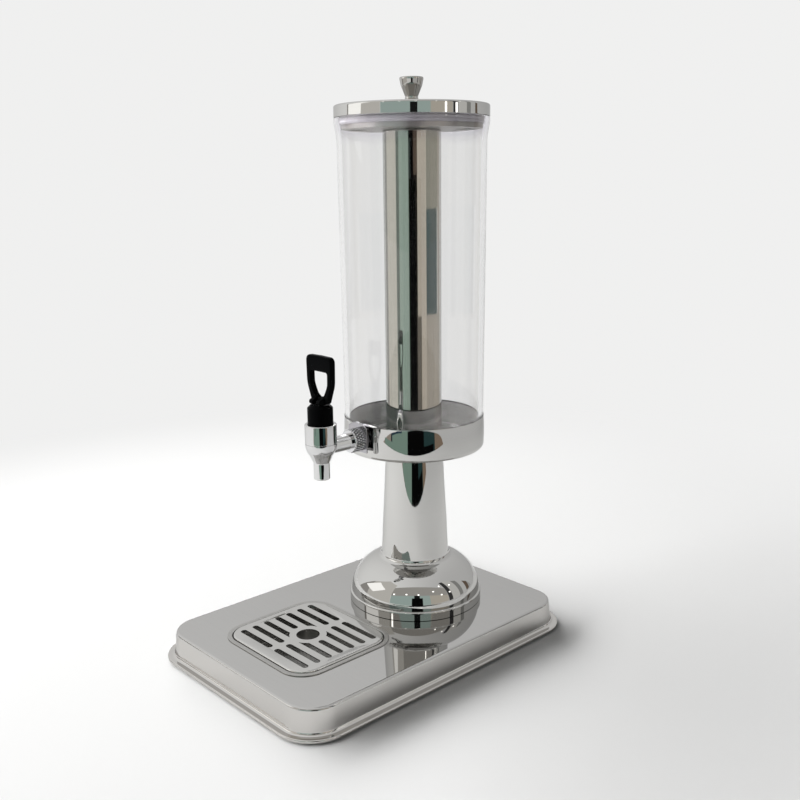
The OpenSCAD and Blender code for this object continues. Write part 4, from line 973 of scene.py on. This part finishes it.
table_edge, hall_wall, ceiling_edge = straight_line(0.55), straight_line(4.0), straight_line(1.6)
foot_z, over_gap_z, near_gap_z, ceiling_z, least_gap = 0.002, 0.003, 0.004, 2.15, 0.002
panel_at, panel_z, panel_high = 1.0, 0.40, 0.56
gap = [(table_edge, foot_z), (gap_end, foot_z)]
far_share, near_share, window_glow, lamp_glow = 0.86, 1.3, 1.5, 4.0
far_gap = [(lambda angle: far_share * gap_end(angle), over_gap_z), (gap_end, over_gap_z)]
near_gap = [(table_edge, near_gap_z), (lambda angle: near_share * table_edge(angle), near_gap_z)]
hall = upright(hall_wall, foot_z, ceiling_z)
side_at, window_before = 2.0, 0.05
left_side = upright(side_at, foot_z, raised(side_at, [-118, -110, -95, -71, -46], [-1, 10, 32, 53, 50]))
right_side = upright(side_at, foot_z, raised(side_at, [60, 74, 92, 110, 117], [50, 48, 33, 12, -1]))
black, gap_green = (0.003, 0.003, 0.003), (0.23, 0.33, 0.275)
for name, first, last, rows, colour in [
    ("gap_brown_left", -49.5, -37, gap, (0.36, 0.315, 0.265)),
    ("gap_line", -37, -35, gap, (0.02, 0.03, 0.04)),
    ("gap_green", -35, -11, gap, gap_green),
    ("gap_blue", -36, -20, far_gap, (0.03, 0.055, 0.08)),
    ("gap_green_near", -47, -11, near_gap, gap_green),
    ("gap_dark_near", 13, 29, near_gap, black),
    ("gap_dark", -11, 14, gap, black),
    ("gap_teal", 14, 31, gap, (0.025, 0.055, 0.055)),
    ("gap_brown", 31, 44.5, gap, (0.26, 0.195, 0.145)),
    ("panel_dark", -7, 12, upright(panel_at, foot_z, panel_z), black),
    ("panel_top", -3, 7, upright(panel_at, panel_z, panel_high), (0.012, 0.013, 0.013)),
    ("hall_green", -46, 26, hall, (0.42, 0.52, 0.49)),
    ("hall_beige", 26, 60, hall, (0.56, 0.52, 0.45)),
    ("hall_ceiling", -60, 60, [(hall_wall, ceiling_z), (ceiling_edge, ceiling_z)], (0.42, 0.405, 0.38)),
    ("left_grey", -118, -94, left_side, (0.38, 0.365, 0.345)),
    ("left_pale", -94, -46, left_side, (0.68, 0.66, 0.62)),
    ("right_line", 60, 68, right_side, (0.05, 0.05, 0.05)),
    ("right_pale", 68, 84, right_side, (0.66, 0.655, 0.63)),
    ("right_grey", 84, 92, right_side, (0.30, 0.30, 0.29)),
    ("right_bright", 92, 102, right_side, (0.62, 0.62, 0.61)),
    ("right_brown", 102, 110, right_side, (0.16, 0.12, 0.09)),
    ("right_edge", 110, 117, right_side, (0.45, 0.45, 0.44)),
]:
    board(name, first, last, rows, colour)
window_at = side_at - window_before
window_low, window_high = [
    raised(window_at, [-104, -83, -63], slopes) for slopes in ([14, 11, 28], [15, 38, 30])
]
board("left_window", -104, -63, upright(window_at, window_low, window_high), (1.0, 0.99, 0.97), window_glow)
lamp_at, lamp_half = 1.4, 1.4
lamp_places = [(-41, 24.6), (-18, 29.6), (5, 29.4), (35, 33.4), (53, 42.6), (74, 34), (48, 19.6), (65, 19)]
for count, (turn, slope) in enumerate(lamp_places):
    low, high = [raised(lamp_at, [0], [slope + side * lamp_half]) for side in (-1, 1)]
    board("ceiling_lamp_%d" % count, turn - lamp_half, turn + lamp_half, upright(lamp_at, low, high),
          (1.0, 0.98, 0.95), lamp_glow)
tube_at, tube_before, tube_top = 0.80, 0.79, 0.60
teal_low, teal_high, dark_top = 0.19, 0.365, 0.42
for name, first, last, distance, low, high, colour in [
    ("tube_edge_left", -135, -119, tube_at, foot_z, tube_top, (0.42, 0.41, 0.39)),
    ("tube_cream", -119, -67, tube_at, foot_z, tube_top, (0.76, 0.73, 0.655)),
    ("tube_line_green", -67, -54, tube_at, foot_z, tube_top, (0.16, 0.19, 0.165)),
    ("tube_green", -54, -15, tube_at, foot_z, tube_top, (0.39, 0.50, 0.43)),
    ("tube_dark", -15, 3, tube_at, foot_z, tube_top, black),
    ("tube_dark_low", 3, 18, tube_at, foot_z, dark_top, black),
    ("tube_brown_top", 3, 18, tube_at, dark_top, tube_top, (0.12, 0.09, 0.07)),
    ("tube_beige", 18, 54, tube_at, foot_z, tube_top, (0.66, 0.60, 0.51)),
    ("tube_brown_low", 16, 33, tube_before, foot_z, teal_low, (0.20, 0.18, 0.155)),
    ("tube_grey_low", 54, 114, tube_at, foot_z, teal_low, (0.50, 0.46, 0.40)),
    ("tube_teal", 54, 110, tube_at, teal_low, teal_high, (0.065, 0.105, 0.108)),
    ("tube_olive", 54, 114, tube_at, teal_high, tube_top, (0.33, 0.32, 0.27)),
    ("tube_edge_right", 114, 130, tube_at, foot_z, tube_top, (0.50, 0.47, 0.41)),
]:
    board(name, first, last, upright(distance, low, high), colour, in_tank=True)

# Lamp: one long soft box at the left, as wide as a window front, so that only what stands low and long
# keeps a clear shadow. Neither the camera nor metal sees it.


def level_axes(back):
    """Directions right and up of something that faces away from back and stands level."""
    right = np.cross([0, 0, 1.0], back)
    right /= np.linalg.norm(right)
    return right, np.cross(back, right)


def placed(name, data, place, right, up, back):
    """Object at a place, turned so that its own axes lie along right, up and back."""
    thing = bpy.data.objects.new(name, data)
    turn = Matrix(np.stack([right, up, back], -1).tolist()).to_4x4()
    thing.matrix_world = Matrix.Translation(place.tolist()) @ turn
    bpy.context.scene.collection.objects.link(thing)
    return thing


lamp_place, lamp_wide, lamp_high, lamp_power = np.array([-3.75, -1.31, 2.11]), 12.0, 1.9, 830
lamp = bpy.data.lights.new("key_box", "AREA")
lamp.shape, lamp.size, lamp.size_y, lamp.energy = "RECTANGLE", lamp_wide, lamp_high, lamp_power
back = lamp_place / np.linalg.norm(lamp_place)
key_box = placed("key_box", lamp, lamp_place, *level_axes(back), back)
key_box.visible_camera = key_box.visible_glossy = False

# Camera: at the photograph's viewing angle, for a square picture. Its aim stands beside and below
# the middle of the column, so the object lies in the picture as it does in the photograph.
camera_data = bpy.data.cameras.new("camera")
camera_data.sensor_width = 36
camera_data.lens = 43.838
camera_data.clip_start, camera_data.clip_end = 0.05, 50
yaw, pitch, roll = np.radians([47.104, 12.843, -0.630])
back = np.array([np.sin(yaw) * np.cos(pitch), -np.cos(yaw) * np.cos(pitch), np.sin(pitch)])
level_right, level_up = level_axes(back)
picture_right = level_right * np.cos(roll) + level_up * np.sin(roll)
picture_up = level_up * np.cos(roll) - level_right * np.sin(roll)
middle_z, aim_right, aim_up, camera_far = 0.2615, -0.012745, -0.044386, 0.884323
aim = np.array([0, column_y, middle_z]) + level_right * aim_right + level_up * aim_up
camera = placed("camera", camera_data, aim + back * camera_far, picture_right, picture_up, back)
bpy.context.scene.camera = camera
bpy.context.scene.view_settings.view_transform = "Standard"
